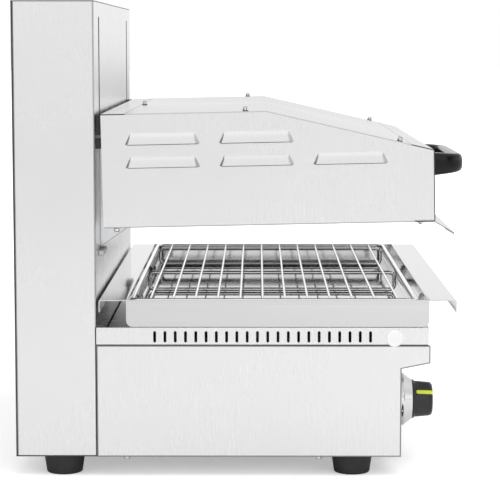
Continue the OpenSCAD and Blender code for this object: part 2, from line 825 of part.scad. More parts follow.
module head_side(right) color("silver") handed(right) head_frame() difference() {
  union() {
    translate([-head_w / 2 + sheet / 2, 0, 0]) along_x(sheet) polygon(head_side_outline());
    // turned-in edges under the top cover and round the underside
    translate([-head_w / 2 + sheet + 9, 0, 0]) along_x(18) {
      polygon(bent([[strip_l, head_rear_h - sheet], [knee_in, head_rear_h - sheet],
        [seam_u, under_top(seam_u)]], -sheet));
      polygon(bent([[under_fold, 0], [head_len - under_fold, 0]], sheet));
    }
    at_louvers() intersection() {
      louver_wedge();
      translate([-louver_out, -louver_l, 0]) cube([louver_out, 2 * louver_l, louver_h]);
    }
  }
  at_louvers() louver_wedge(0.9);
  translate([-head_w / 2 + 9, -(head_flat - 23), head_rear_h]) screw_hole();
  translate([-head_w / 2 + 9, -(seam_u - 13), top_v(seam_u - 13)])
    rotate([slope_a, 0, 0]) screw_hole();
}

module head_rear() color("silver") difference() {
  head_frame() {
    along_x(head_w - 2 * sheet) polygon(folded([
      [under_fold, 0], [0, 0], [0, head_rear_h - sheet]
    ], -sheet));
    slab([-head_w / 2, head_w / 2], [0, strip_l - 0.6], [head_rear_h - sheet, head_rear_h]);
  }
  for (r = [false, true]) at_arm_bolts(r) bolt_hole();
  at_underside_screws() screw_hole();
}

module head_front() color("silver") difference() {
  head_frame() along_x(head_w) polygon(folded([
    [seam_u, top_v(seam_u)], [head_len, head_front_h], [head_len, 0],
    [head_len - under_fold, 0]
  ], -sheet));
  at_handle_screws() screw_hole();
  at_underside_screws() screw_hole();
}

module head_top_cover() color("silver") difference() {
  head_frame() along_x(head_w) polygon(folded([
    [strip_l, head_rear_h], [head_flat, head_rear_h], [seam_u - 0.6, top_v(seam_u - 0.6)]
  ], -sheet));
  at_cover_screws() screw_hole();
}

module head_lip() color("silver") difference() {
  head_frame() along_x(head_w - 20) {
    polygon(folded([[head_len - 21, 0], [head_len, 0], [head_len + lip_out, -lip_fall]], -sheet));
    polygon(bent([[head_len + lip_out * 0.62, -lip_fall * 0.62 - sheet],
      [head_len + lip_out, -lip_fall - sheet]], -sheet));
  }
  at_underside_screws() screw_hole();
}

module reflector() color("gainsboro") head_frame() {
  outline = [
    [reflector_u[0], sheet], [reflector_u[0] + reflector_slope, reflector_v],
    [reflector_u[1] - reflector_slope, reflector_v], [reflector_u[1], sheet]
  ];
  difference() {
    union() {
      along_x(reflector_w) polygon(folded(outline));
      for (x = [-1, 1])
        translate([x * (reflector_w - sheet) / 2, 0, 0]) along_x(sheet)
          polygon(sheet_face(outline, sheet, [0, fold_r, fold_r, 0], true));
    }
    for (x = heater_ends())
      translate([x, -reflector_u[0] - reflector_slope, heater_v]) rotate([90, 0, 0])
        cylinder(h = 40, r = heater_r + 0.3, center = true);
  }
}

module insulation() color("khaki") head_frame()
  slab([-reflector_w / 2, reflector_w / 2], reflector_u + [12, -12],
       [reflector_v + sheet, reflector_v + sheet + wool_t]);

function heater_ends() = [for (s = [-1, 1], e = [-1, 1])
  s * heater_mid + e * (heater_runs - 1) * heater_pitch / 2];

// A serpentine tube of even runs, both ends leaving to the rear.
module heater(right) color("dimgray") handed(right)
  head_frame() translate([-heater_mid, 0, heater_v]) {
    back = heater_u[0];
    front = heater_u[1];
    bend = heater_pitch / 2;
    for (i = [0:heater_runs - 1]) {
      x = (i - (heater_runs - 1) / 2) * heater_pitch;
      start = (i == 0 || i == heater_runs - 1) ? 6 : back + bend;
      translate([x, -(front - bend), 0]) rotate([-90, 0, 0])
        cylinder(h = front - bend - start, r = heater_r);
    }
    for (i = [0:heater_runs - 2]) {
      x = (i + 0.5 - (heater_runs - 1) / 2) * heater_pitch;
      at_front = i % 2 == 0;
      translate([x, at_front ? -(front - bend) : -(back + bend), 0])
        rotate(at_front ? 180 : 0)
          rotate_extrude(angle = 180) translate([bend, 0]) circle(heater_r);
    }
  }

module heater_brackets() color("silver") head_frame() difference() {
  for (u = bracket_u)
    slab([-reflector_w / 2 + sheet, reflector_w / 2 - sheet], [u, u + bracket_t],
         [heater_v - heater_r - 5, reflector_v]);
  for (s = [-1, 1], i = [0:heater_runs - 1])
    translate([s * heater_mid + (i - (heater_runs - 1) / 2) * heater_pitch, 0, heater_v])
      rotate([90, 0, 0]) cylinder(h = 2 * head_len, r = heater_r + 0.15, center = true);
}

// ---- Handle ----

module rounded_rect(w, h, r) {
  square([w - 2 * r, h], center = true);
  square([w, h - 2 * r], center = true);
  for (x = [-1, 1], y = [-1, 1])
    translate([x * (w / 2 - r), y * (h / 2 - r)]) circle(r);
}

module handle() color("black") difference() {
  head_frame() translate([0, -head_len, handle_v]) intersection() {
    // the bow, seen from above
    translate([0, 0, -handle_h]) linear_extrude(2 * handle_h) difference() {
      intersection() {
        rounded_rect(handle_l, 2 * handle_out, 26);
        translate([-handle_l, -handle_out]) square([2 * handle_l, handle_out]);
      }
      rounded_rect(handle_l - 2 * handle_bar, 2 * (handle_out - handle_bar), 18);
    }
    // its tapered side
    along_x(handle_l + 2) {
      polygon([
        [0, -handle_h / 2], [handle_out - 6, -handle_tip_h / 2],
        [handle_out - 6, handle_tip_h / 2], [0, handle_h / 2]
      ]);
      intersection() {
        translate([handle_out - 7, 0]) rounded_rect(14, handle_tip_h, 6.5);
        translate([handle_out - 8, -handle_h]) square([8, 2 * handle_h]);
      }
    }
  }
  at_handle_screws() translate([0, 0, -sheet - 14]) cylinder(h = 14, r = 2.5);
}

module handle_screws() color("silver") at_handle_screws() {
  cylinder(h = 3.2, r = 5);
  translate([0, 0, -sheet - 14]) cylinder(h = sheet + 14, r = screw_r);
}

module cover_screws() color("silver") at_cover_screws() pan_screw();

module underside_screws() color("silver") at_underside_screws() pan_screw();

// ---- Pan and grate ----

module pan() color("gainsboro") stand_frame() {
  low = pan_z + sheet;
  d0 = tray_back + sheet;
  d1 = tray_front - sheet;
  tray = [[d0, rim_z], [d0, low], [d1, low], [d1, rim_z]];
  along_x(pan_w) polygon(folded(
    concat([[pan_back, rim_z - pan_lip], [pan_back, rim_z]], tray,
      [[pan_front, rim_z], [pan_front, rim_z - pan_lip]]),
    -sheet, [0, fold_r, fold_r, pan_r, pan_r, fold_r, fold_r, 0]
  ));
  for (x = [-1, 1])
    translate([x * (pan_w - sheet) / 2, 0, 0]) along_x(sheet)
      polygon(sheet_face(tray, -sheet, [0, pan_r, pan_r, 0], true));
}

module wire(x, d, z, l, r) translate([x, rear_y - d, z]) rotate([0, 90, 0])
  cylinder(h = l, r = r, center = true);

module grate_wires() color("whitesmoke")
  for (i = [0:wire_n - 1])
    wire(0, grate_back + wire_margin + i * wire_pitch, wire_z,
         wire_len - 4 * rod_wire_r + 2 * weld, wire_r);

// A closed ring of rod in the XY plane, given by the lengths of its centre line.
module rod_ring(lx, ly, bend, r) {
  for (s = [-1, 1]) {
    translate([0, s * ly / 2, 0]) rotate([0, 90, 0])
      cylinder(h = lx - 2 * bend, r = r, center = true);
    translate([s * lx / 2, 0, 0]) rotate([90, 0, 0])
      cylinder(h = ly - 2 * bend, r = r, center = true);
  }
  for (mx = [0, 1], my = [0, 1]) mirror([mx, 0, 0]) mirror([0, my, 0])
    translate([lx / 2 - bend, ly / 2 - bend, 0])
      rotate_extrude(angle = 90) translate([bend, 0]) circle(r);
}

module grate_rails() color("whitesmoke") {
  mid = rear_y - (grate_front + grate_back) / 2;
  run = grate_front - grate_back;
  for (x = [-loop_x, 0, loop_x])
    translate([x, mid, (loop_z + loop_top) / 2]) rotate([90, 0, 90])
      rod_ring(run - 2 * loop_margin, loop_h, loop_r, rod_wire_r);
  translate([0, mid, wire_z]) rod_ring(wire_len - 2 * rod_wire_r, run, frame_r, rod_wire_r);
}

// ---- Build ----

floor_pan();
base_side(false);  // base_side_left
base_side(true);  // base_side_right
front_panel();
base_lid();
hole_plug();
bezel(false);  // bezel_left
bezel(true);  // bezel_right
pilot_lamps();
regulator_body(false);  // regulator_left
regulator_body(true);  // regulator_right
terminal_block();
cable_gland();
feet();
foot_screws();
floor_screws();
column_shell();
column_rear_cover();
column_top_cap();
rear_screws();
guide_rail(false);  // guide_rail_left
guide_rail(true);  // guide_rail_right
gas_cylinder(false);  // gas_cylinder_left
gas_cylinder(true);  // gas_cylinder_right
slot_stops();
lift_arm(false);  // lift_arm_left
lift_arm(true);  // lift_arm_right
carriage();
roller_pins();
arm_bolts();
gas_rod(false);  // gas_rod_left
gas_rod(true);  // gas_rod_right
head_side(false);  // head_side_left
head_side(true);  // head_side_right
head_rear();
head_front();
head_top_cover();
head_lip();
reflector();
insulation();
heater(false);  // heater_left
heater(true);  // heater_right
heater_brackets();
handle();
handle_screws();
cover_screws();
underside_screws();
roller(false, roller_z[1]);  // roller_upper_left
roller(true, roller_z[1]);  // roller_upper_right
roller(false, roller_z[0]);  // roller_lower_left
roller(true, roller_z[0]);  // roller_lower_right
pan();
grate_wires();
grate_rails();
knob(false);  // knob_left
knob(true);  // knob_right
pointer(false);  // pointer_left
pointer(true);  // pointer_right
shaft(false);  // shaft_left
shaft(true);  // shaft_right
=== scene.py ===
import json
from math import cos, pi, radians, sin

import bmesh
import bpy
import numpy as np
from mathutils import Matrix, Vector

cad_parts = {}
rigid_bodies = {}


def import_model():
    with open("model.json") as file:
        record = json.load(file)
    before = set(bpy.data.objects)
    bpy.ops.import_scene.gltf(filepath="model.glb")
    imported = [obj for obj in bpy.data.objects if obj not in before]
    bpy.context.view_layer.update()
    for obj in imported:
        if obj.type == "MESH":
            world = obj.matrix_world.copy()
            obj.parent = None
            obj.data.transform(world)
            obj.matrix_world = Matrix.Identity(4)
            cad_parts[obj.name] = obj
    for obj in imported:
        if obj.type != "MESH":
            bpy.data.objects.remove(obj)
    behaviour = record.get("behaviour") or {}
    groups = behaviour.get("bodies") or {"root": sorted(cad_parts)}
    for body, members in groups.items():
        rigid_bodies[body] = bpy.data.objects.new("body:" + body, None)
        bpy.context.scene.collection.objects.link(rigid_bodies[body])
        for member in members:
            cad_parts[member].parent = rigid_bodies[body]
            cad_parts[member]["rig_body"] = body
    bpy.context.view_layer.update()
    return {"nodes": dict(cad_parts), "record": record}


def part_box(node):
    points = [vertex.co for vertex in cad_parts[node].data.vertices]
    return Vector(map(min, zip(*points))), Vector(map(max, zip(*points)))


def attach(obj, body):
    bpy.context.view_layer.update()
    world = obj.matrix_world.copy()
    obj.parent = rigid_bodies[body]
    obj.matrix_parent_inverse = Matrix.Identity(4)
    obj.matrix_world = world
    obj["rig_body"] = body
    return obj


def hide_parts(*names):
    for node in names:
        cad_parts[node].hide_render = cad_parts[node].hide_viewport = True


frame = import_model()
nodes = frame["nodes"]
bodyOfNode = {node: thing["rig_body"] for node, thing in nodes.items()}
slotOfNode = {part["node"]: part["material_slot"] for part in frame["record"]["subparts"]}
scene = bpy.context.scene

# places that the CAD source gives, in metres
backOfMachine = 0.26
headPanel = 0.295  # outer face of the head's side panels, from the middle
headPlace = Matrix.Translation((0, 0.160, 0.2789)) @ Matrix.Rotation(radians(-1.2), 4, "X")
knobPlaces = {side: Matrix.Translation((x, -0.1717, 0.072)) @ Matrix.Rotation(radians(90), 4, "X")
              for side, x in (("left", -0.212), ("right", 0.212))}


# camera

viewSettings = {"place": (-2.3939, -0.0097, 0.4849), "yaw": 0.0035, "down": 0.1091, "lens": 136.94,
                "sensor": 36, "sees": 60}


def aimCamera(s):  # looks along +X, turned a little and tipped down
    data = bpy.data.cameras.new("photoCamera")
    data.lens, data.sensor_width, data.clip_end = s["lens"], s["sensor"], s["sees"]
    camera = bpy.data.objects.new("photoCamera", data)
    scene.collection.objects.link(camera)
    look = Vector((cos(s["yaw"]) * cos(s["down"]), sin(s["yaw"]) * cos(s["down"]), -sin(s["down"])))
    camera.rotation_euler = look.to_track_quat("-Z", "Y").to_euler()
    camera.location = s["place"]
    scene.camera = camera


aimCamera(viewSettings)
scene.view_settings.view_transform = "Standard"


# shader maths

class Value:  # one output socket; arithmetic on it adds Math nodes
    def __init__(self, tree, socket):
        self.tree, self.socket = tree, socket

    def maths(self, operation, *others):
        return self.tree.add("ShaderNodeMath", {"operation": operation}, [self, *others])

    def __add__(self, other):
        return self.maths("ADD", other)

    def __mul__(self, other):
        return self.maths("MULTIPLY", other)

    def __sub__(self, other):
        return self.maths("SUBTRACT", other)

    def __truediv__(self, other):
        return self.maths("DIVIDE", other)

    def __pow__(self, other):
        return self.maths("POWER", other)

    def __rsub__(self, other):
        return (self * -1) + other

    def __rtruediv__(self, other):
        return (self ** -1) * other

    __radd__, __rmul__ = __add__, __mul__

    def over(self, limit):
        return self.maths("GREATER_THAN", limit)

    def size(self):
        return self.maths("ABSOLUTE")

    def kept(self, low=0.0, high=1.0):
        return self.maths("MAXIMUM", low).maths("MINIMUM", high)


class Tree:  # a node tree that is filled by calls
    def __init__(self, owner):
        owner.use_nodes = True
        self.nodes, self.links = owner.node_tree.nodes, owner.node_tree.links
        self.nodes.clear()

    def add(self, kind, settings=None, inputs=(), out=0):  # settings first, then sockets; gives one output
        node = self.nodes.new(kind)
        for key, value in (settings or {}).items():
            if key == "stops":
                ramp = node.color_ramp
                while len(ramp.elements) < len(value):
                    ramp.elements.new(0.5)
                for element, (place, shade) in zip(ramp.elements, value):
                    element.position, element.color = place, grey(shade)
            else:
                setattr(node, key, value)
        pairs = inputs.items() if isinstance(inputs, dict) else enumerate(inputs)
        for key, value in pairs:
            if isinstance(value, Value):
                self.links.new(value.socket, node.inputs[key])
            else:
                node.inputs[key].default_value = value
        return Value(self, node.outputs[out]) if node.outputs else None

    def noise(self, vector, scale, detail=2.0, roughness=0.5):
        return self.add("ShaderNodeTexNoise", {}, {"Vector": vector, "Scale": scale, "Detail": detail,
                                                   "Roughness": roughness})

    def stretched(self, vector, scales):
        return self.add("ShaderNodeVectorMath", {"operation": "MULTIPLY"}, [vector, scales])

    def tint(self, factor, first, second):
        return self.add("ShaderNodeMix", {"data_type": "RGBA"}, {0: factor, 6: first, 7: second}, out=2)

    def bump(self, height, distance, strength=1.0):
        return self.add("ShaderNodeBump", {}, {"Height": height, "Distance": distance, "Strength": strength})

    def mirrored(self):  # 1 for rays that gloss or glass sends
        return (self.add("ShaderNodeLightPath", out=3) + self.add("ShaderNodeLightPath", out=6)).kept()


def grey(value):
    return (value, value, value, 1)


def tones(colour, factors, most=9):  # a colour made darker and paler
    return [tuple(min(c * k, most) for c in colour) + (1,) for k in factors]


def newMaterial(name, paint):
    material = bpy.data.materials.new(name)
    tree = Tree(material)
    shader = tree.add("ShaderNodeBsdfPrincipled", {}, paint(tree, tree.add("ShaderNodeTexCoord", out=3)))
    tree.add("ShaderNodeOutputMaterial", {}, {"Surface": shader})
    return material


# finishes

# noise is given as (size across the grain, size along it, detail), in waves a metre
# the raw edge colour, near black, is also the colour of painted shade
sheetSettings = {"fine": (1700, 6, 3), "wide": (190, 1.7, 2), "smudge": (6, 4), "broken": 0.6,
                 "smudgeTone": 0.02, "smudgeGloss": 0.08, "tones": (0.6, 1.4), "flatFrom": 0.7, "flatCalm": 0.7,
                 "rawEdgeAndShadeColour": 0.10, "rawDull": 0.2, "smoothest": 0.05, "stretch": 0.5, "turn": 0.25,
                 "bumpHeight": 0.000006, "bumpStrength": 0.3}


# Rolled and brushed sheet: fine lines and wider streaks along the grain, and faint handling smudges.
# The grain stands on upright faces, or lies level on them, and runs across the machine on flat ones. A face
# attribute takes the colour towards near black and dulls the gloss: on the raw edges that the shears left,
# which are duller than the face, and as painted shade on folds, rounded edges, borders, gaps and screws.
def brushedSheet(name, shade, rough, streak=0.008, line=0.03, warm=0.0, level=False, s=sheetSettings):
    def paint(t, place):
        facing = t.add("ShaderNodeTexCoord", out=1)
        flat = t.add("ShaderNodeSeparateXYZ", {}, [facing], out=2).size().over(s["flatFrom"])

        def grain(fine, along, detail):  # noise drawn out along the sheet's grain
            onWall = (along, along, fine) if level else (fine, fine, along)
            upright, lying = [t.noise(t.stretched(place, scales), 1, detail, s["broken"])
                              for scales in (onWall, (along, fine, fine))]
            return upright + (lying - upright) * flat
        lines, wide = grain(*s["fine"]), grain(*s["wide"])
        smudge = t.noise(place, *s["smudge"], s["broken"]) - 0.5
        lines = (lines - 0.5) * (1 - flat * s["flatCalm"])
        tone = (wide - 0.5) * streak + lines * streak + smudge * s["smudgeTone"] + 0.5
        low, high = tones((shade * (1 + warm), shade, shade * (1 - warm)), s["tones"])
        # the face attribute mixes in the near black of raw edges and of painted shade
        rawAndShaded = t.add("ShaderNodeAttribute", {"attribute_name": "edgeTone"}, out=2)
        rougher = lines * line + smudge * s["smudgeGloss"] + rough + rawAndShaded * s["rawDull"]
        return {"Base Color": t.tint(rawAndShaded, t.tint(tone, low, high), grey(s["rawEdgeAndShadeColour"])), "Metallic": 1.0,
                "Roughness": rougher.kept(s["smoothest"], 1),
                "Anisotropic": s["stretch"], "Anisotropic Rotation": s["turn"],
                "Normal": t.bump(lines, s["bumpHeight"], s["bumpStrength"])}
    return newMaterial(name, paint)


# the raw edge colour, near black, is also the colour of painted shade
metalSettings = {"broken": 0.6, "mottle": 22, "detail": 3, "contrast": 0.8, "tones": (0.86, 1.1),
                 "rawEdgeAndShadeColour": 0.05, "rawDull": 0.2, "smoothest": 0.03, "bumpHeight": 0.00003, "bumpStrength": 0.4}


# Drawn, plated or cast metal: a fine even grain with mottled gloss.
def plainMetal(name, colour, rough, grain=300, mottle=0.08, s=metalSettings):
    def paint(t, place):
        fine = t.noise(place, grain, s["detail"], s["broken"])
        wide = t.noise(place, s["mottle"], s["detail"])
        low, high = tones(colour, s["tones"], 1)
        # the face attribute mixes in the near black of raw edges and of painted shade at screws and edges
        rawAndShaded = t.add("ShaderNodeAttribute", {"attribute_name": "edgeTone"}, out=2)
        metal = t.tint((wide - 0.5) * s["contrast"] + 0.5, low, high)
        rougher = (fine - 0.5) * mottle + (wide - 0.5) * mottle + rough + rawAndShaded * s["rawDull"]
        return {"Base Color": t.tint(rawAndShaded, metal, grey(s["rawEdgeAndShadeColour"])), "Metallic": 1.0,
                "Roughness": rougher.kept(s["smoothest"], 1),
                "Normal": t.bump(fine, s["bumpHeight"], s["bumpStrength"])}
    return newMaterial(name, paint)


plasticSettings = {"flow": (14, 14, 60), "detail": 3, "contrast": 0.8, "tones": (0.8, 1.2), "grainGloss": 0.12,
                   "flowGloss": 0.1, "smoothest": 0.05, "bumpStrength": 0.5, "coatRough": 0.08}


# Moulded plastic or rubber: a fine spark-eroded grain, faint flow marks and slightly rubbed tone.
def moulded(name, colour, rough, grain=700, depth=0.00004, coat=0.0, glow=0.0, shine=0.5, s=plasticSettings):
    def paint(t, place):
        fine = t.noise(place, grain, 2)
        flow = t.noise(t.stretched(place, s["flow"]), 1, s["detail"])
        low, high = tones(colour, s["tones"])
        rougher = (fine - 0.5) * s["grainGloss"] + (flow - 0.5) * s["flowGloss"] + rough
        sockets = {"Base Color": t.tint((flow - 0.5) * s["contrast"] + 0.5, low, high),
                   "Roughness": rougher.kept(s["smoothest"], 1), "Normal": t.bump(fine, depth, s["bumpStrength"]),
                   "Coat Weight": coat, "Coat Roughness": s["coatRough"], "Specular IOR Level": shine}
        if glow:
            sockets.update({"Emission Color": colour + (1,), "Emission Strength": glow})
        return sockets
    return newMaterial(name, paint)


woolSettings = {"strands": (900, 260, 500), "lumps": 60, "tones": (0.7, 1.1), "rough": 0.88, "uneven": 0.1,
                "bumpHeight": 0.0008, "bumpStrength": 0.8}


# Matted mineral fibre: crossed strands of light and shade.
def fibrous(name, colour, s=woolSettings):
    def paint(t, place):
        strands = t.noise(t.stretched(place, s["strands"]), 1, 4, 0.7)
        lumps = t.noise(place, s["lumps"], 3)
        low, high = tones(colour, s["tones"])
        return {"Base Color": t.tint(strands, low, high), "Roughness": (lumps * s["uneven"] + s["rough"]).kept(),
                "Normal": t.bump(strands + lumps, s["bumpHeight"], s["bumpStrength"])}
    return newMaterial(name, paint)


scorchSettings = {"dark": (0.035, 0.03, 0.03, 1), "brown": (0.15, 0.115, 0.09, 1), "patch": 30, "grain": 900,
                  "metallic": 0.6, "rough": 0.35, "patchGloss": 0.25, "grainGloss": 0.1,
                  "bumpHeight": 0.00004, "bumpStrength": 0.5}


# Heater sheath: dark oxide, browner and bluer in patches, matt.
def scorched(name, s=scorchSettings):
    def paint(t, place):
        patch = t.noise(place, s["patch"], 4, 0.6)
        fine = t.noise(place, s["grain"], 2)
        return {"Base Color": t.tint(patch, s["dark"], s["brown"]), "Metallic": s["metallic"],
                "Roughness": (patch * s["patchGloss"] + fine * s["grainGloss"] + s["rough"]).kept(),
                "Normal": t.bump(fine, s["bumpHeight"], s["bumpStrength"])}
    return newMaterial(name, paint)


# sheets: shade, roughness, streaks, gloss of the lines, warmth; metals: colour, roughness, grain, mottle;
# plastics: colour, roughness, grain, its depth, coat, glow
finish = {
    "body_steel": brushedSheet("bodySteel", 0.85, 0.27),
    "pan_steel": brushedSheet("panSteel", 0.67, 0.06, 0.14, 0.04, level=True),
    "reflector_steel": brushedSheet("reflectorSteel", 0.74, 0.22, 0.06, 0.08, 0.015, level=True),
    "zinc_steel": plainMetal("zincSteel", (0.82, 0.83, 0.84), 0.30, 160, 0.14),
    "screw_steel": plainMetal("screwSteel", (0.80, 0.80, 0.80), 0.11),
    "bezel_metal": plainMetal("bezelMetal", (0.80, 0.80, 0.80), 0.15, 900, 0.06),
    "grate_chrome": plainMetal("grateChrome", (0.97, 0.97, 0.97), 0.07, 400, 0.04),
    "brass": plainMetal("shaftBrass", (0.78, 0.60, 0.30), 0.25),
    "black_plastic": moulded("blackPlastic", (0.006, 0.006, 0.0065), 0.16, 500, 0.00001, shine=0.3),
    "black_paint": moulded("springPaint", (0.02, 0.02, 0.02), 0.35, 300, 0.00003, 0.2),
    "black_rubber": moulded("footRubber", (0.014, 0.014, 0.015), 0.55, 420, 0.00009),
    "grey_plastic": moulded("glandPlastic", (0.06, 0.06, 0.065), 0.5),
    "white_plastic": moulded("capPlastic", (0.93, 0.93, 0.92), 0.32, 500, 0.00002),
    "ivory_plastic": moulded("ivoryPlastic", (0.66, 0.61, 0.48), 0.45),
    "lamp_orange": moulded("lampLens", (0.72, 0.20, 0.02), 0.12, 300, 0.00001, 0.6, 0.2),
    "pointer_green": moulded("pointerInk", (0.66, 0.74, 0.04), 0.35, 500, 0.00002),
    "wool": fibrous("mineralWool", (0.80, 0.76, 0.62)),
    "heater_steel": scorched("heaterSheath"),
}
knobPlastic = moulded("knobPlastic", (0.018, 0.018, 0.0185), 0.20, 900, 0.00004)
stopPlastic = moulded("stopPlastic", (0.70, 0.70, 0.70), 0.45)
markInk = moulded("markInk", (0.012, 0.012, 0.012), 0.45)
print("finishes done")


# meshes from arrays

# A new object from (points, faces). It rides on a body, takes a slot's finish or its own material, and
# stands for the CAD nodes that are named. Tones, if given, are one number for each face: raw edges and painted
# shade.
def newPiece(name, part, body, slot, material=None, smooth=40, stands=(), rawEdgeAndShadeTones=None):
    points, faces = part
    mesh = bpy.data.meshes.new(name)
    mesh.from_pydata(np.asarray(points, float).tolist(), [], [[int(k) for k in face] for face in faces])
    mesh.validate()
    piece = bpy.data.objects.new(name, mesh)
    scene.collection.objects.link(piece)
    faceOut(mesh)
    if rawEdgeAndShadeTones is not None:
        row = mesh.attributes.new("edgeTone", "FLOAT", "FACE")
        row.data.foreach_set("value", np.asarray(rawEdgeAndShadeTones, np.float32))
    return dress(piece, body, slot, material, smooth, stands)


def dress(piece, body, slot, material=None, smooth=40, stands=()):
    mesh = piece.data
    mesh.materials.clear()
    mesh.materials.append(material or finish[slot])
    mesh.polygons.foreach_set("use_smooth", np.ones(len(mesh.polygons), bool))
    mesh.set_sharp_from_angle(angle=radians(smooth))
    weighted = piece.modifiers.new("evenNormals", "WEIGHTED_NORMAL")
    weighted.keep_sharp = True
    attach(piece, body)
    if stands:
        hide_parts(*stands)
    return piece


def faceOut(mesh):  # closed shells only
    bm = bmesh.new()
    bm.from_mesh(mesh)
    bmesh.ops.recalc_face_normals(bm, faces=bm.faces)
    bm.to_mesh(mesh)
    bm.free()


# Quads of a grid of points that are numbered row by row.
def gridFaces(rows, columns, closeRows=False, closeColumns=False):
    i = np.arange(rows if closeRows else rows - 1)[:, None]
    j = np.arange(columns if closeColumns else columns - 1)[None, :]
    i2, j2 = (i + 1) % rows, (j + 1) % columns
    return np.stack([i * columns + j, i * columns + j2, i2 * columns + j2, i2 * columns + j], -1).reshape(-1, 4)


def joined(parts):  # several (points, faces) as one
    points, faces, count = [], [], 0
    for p, f in parts:
        points.append(p)
        faces += [np.asarray(face) + count for face in f]
        count += len(p)
    return np.concatenate(points), faces


def moved(part, matrix):
    m = np.array(matrix)
    return np.asarray(part[0]) @ m[:3, :3].T + m[:3, 3], part[1]


def inHead(points):  # (across, along, up) of the head's frame to the machine's own
    m = np.array(headPlace)
    return (np.asarray(points, float) * (1, -1, 1)) @ m[:3, :3].T + m[:3, 3]


def unit(vectors):
    return vectors / np.linalg.norm(vectors, axis=-1, keepdims=True)


def lengthsAlong(path):  # of each point from the path's start
    return np.concatenate([[0], np.cumsum(np.linalg.norm(np.diff(path, axis=0), axis=1))])


def pointsAt(path, lengths):  # the path's points at these lengths from its start
    return np.stack([np.interp(lengths, lengthsAlong(path), column) for column in path.T], -1)


def angles(count):  # evenly round a turn
    return np.arange(count) * 2 * pi / count


def circle(radius, count=20):
    return np.stack([radius * np.cos(angles(count)), radius * np.sin(angles(count))], -1)


# |x / a| ^ p + |y / b| ^ p = 1: a rectangle with soft corners for a power over 2.
def softBox(width, height, power, count=48):
    a = angles(count)
    x = np.sign(np.cos(a)) * np.abs(np.cos(a)) ** (2 / power) * width / 2
    y = np.sign(np.sin(a)) * np.abs(np.sin(a)) ** (2 / power) * height / 2
    return np.stack([x, y], -1)


# Revolves a profile of (radius, height) rows about Z: x = r cos a, y = r sin a, z = h.
# An open profile starts and ends on the axis, where one point closes it; a closed one is a ring.
def turned(profile, count=64, ring=False):
    profile = np.asarray(profile, float)
    a = angles(count)
    rows = profile if ring else profile[1:-1]
    points = np.stack([rows[:, :1] * np.cos(a), rows[:, :1] * np.sin(a), np.repeat(rows[:, 1:], count, 1)], -1)
    points = points.reshape(-1, 3)
    faces = list(gridFaces(len(rows), count, closeRows=ring, closeColumns=True))
    if ring:
        return points, faces
    low, j = len(points), np.arange(count)
    last = (len(rows) - 1) * count
    faces += list(np.stack([np.full(count, low), (j + 1) % count, j], -1))
    faces += list(np.stack([np.full(count, low + 1), last + j, last + (j + 1) % count], -1))
    return np.concatenate([points, [[0, 0, profile[0, 1]], [0, 0, profile[-1, 1]]]]), faces


# Rounds the inner corners of a path: each corner gives way to an arc of its radius, which meets both
# legs r tan(half the turn) away from it. A closed path has a radius for every corner.
def rounded(corners, radii, steps=5, closed=False):
    corners = np.asarray(corners, float)
    if closed:
        triples = zip(np.roll(corners, 1, 0), corners, np.roll(corners, -1, 0))
        out = []
    else:
        triples = zip(corners, corners[1:], corners[2:])
        out = [corners[:1]]
    radii = [radii] * len(corners) if np.isscalar(radii) else radii
    for (before, corner, after), r in zip(triples, radii):
        a, b = before - corner, after - corner
        la, lb = np.linalg.norm(a), np.linalg.norm(b)
        a, b = a / la, b / lb
        half = np.arccos(np.clip(-a @ b, -1, 1)) / 2
        reach = min(r * np.tan(half), 0.49 * la, 0.49 * lb)
        if reach < 1e-7:
            out.append(corner[None])
            continue
        radius = reach / np.tan(half)
        centre = corner + (a + b) / np.linalg.norm(a + b) * radius / np.cos(half)
        u = (corner + a * reach - centre) / radius
        w = (corner + b * reach - centre) / radius
        w = unit(w - (w @ u) * u)
        k = np.linspace(0, 2 * half, steps + 1)[:, None]
        out.append(centre + radius * (np.cos(k) * u + np.sin(k) * w))
    if not closed:
        out.append(corners[-1:])
    return np.concatenate(out)


# Carries a section along a path. Its first number goes sideways, along tangent x up, and its second
# along the up that is left square to the tangent. There is one outline, or one for each point.
def swept(path, section, closed=False, upward=(0, 0, 1)):
    path = np.asarray(path, float)
    n = len(path)
    if closed:
        tangent = unit(np.roll(path, -1, 0) - np.roll(path, 1, 0))
    else:
        leg = unit(np.diff(path, axis=0))
        tangent = unit(np.concatenate([leg[:1], leg[:-1] + leg[1:], leg[-1:]]))
    side = unit(np.cross(tangent, np.asarray(upward, float)))
    up = np.cross(side, tangent)
    section = np.asarray(section, float)
    section = np.broadcast_to(section, (n,) + section.shape[-2:])
    points = path[:, None] + section[..., :1] * side[:, None] + section[..., 1:] * up[:, None]
    k = section.shape[1]
    faces = list(gridFaces(n, k, closeRows=closed, closeColumns=True))
    if not closed:
        faces += [np.arange(k)[::-1], np.arange(k) + (n - 1) * k]
    return points.reshape(-1, 3), faces


# A closed shell of an outer and an inner grid of points, joined round the rim.
def shellOf(outer, inner):
    rows, columns = outer.shape[:2]
    index = np.arange(rows * columns).reshape(rows, columns)
    edge = np.concatenate([index[0], index[1:, -1], index[-1, -2::-1], index[-2:0:-1, 0]])
    top = gridFaces(rows, columns)
    wall = np.stack([edge, np.roll(edge, -1), np.roll(edge, -1) + index.size, edge + index.size], -1)
    faces = list(top) + list(top[:, ::-1] + index.size) + list(wall)
    return np.concatenate([outer.reshape(-1, 3), inner.reshape(-1, 3)]), faces


# sheet pieces: the CAD shape with its edges eased

easeSettings = {"merge": 0.000004, "level": 0.3, "shortest": 0.003, "sharpest": 32, "segments": 2,
                "sheet": 0.0016, "rawLength": 0.01, "rawShare": 0.6, "rawTurn": 55, "foldFacing": (0.2, 0.97),
                "plateArea": 0.002, "plateFacing": 0.97, "sunk": 0.1}
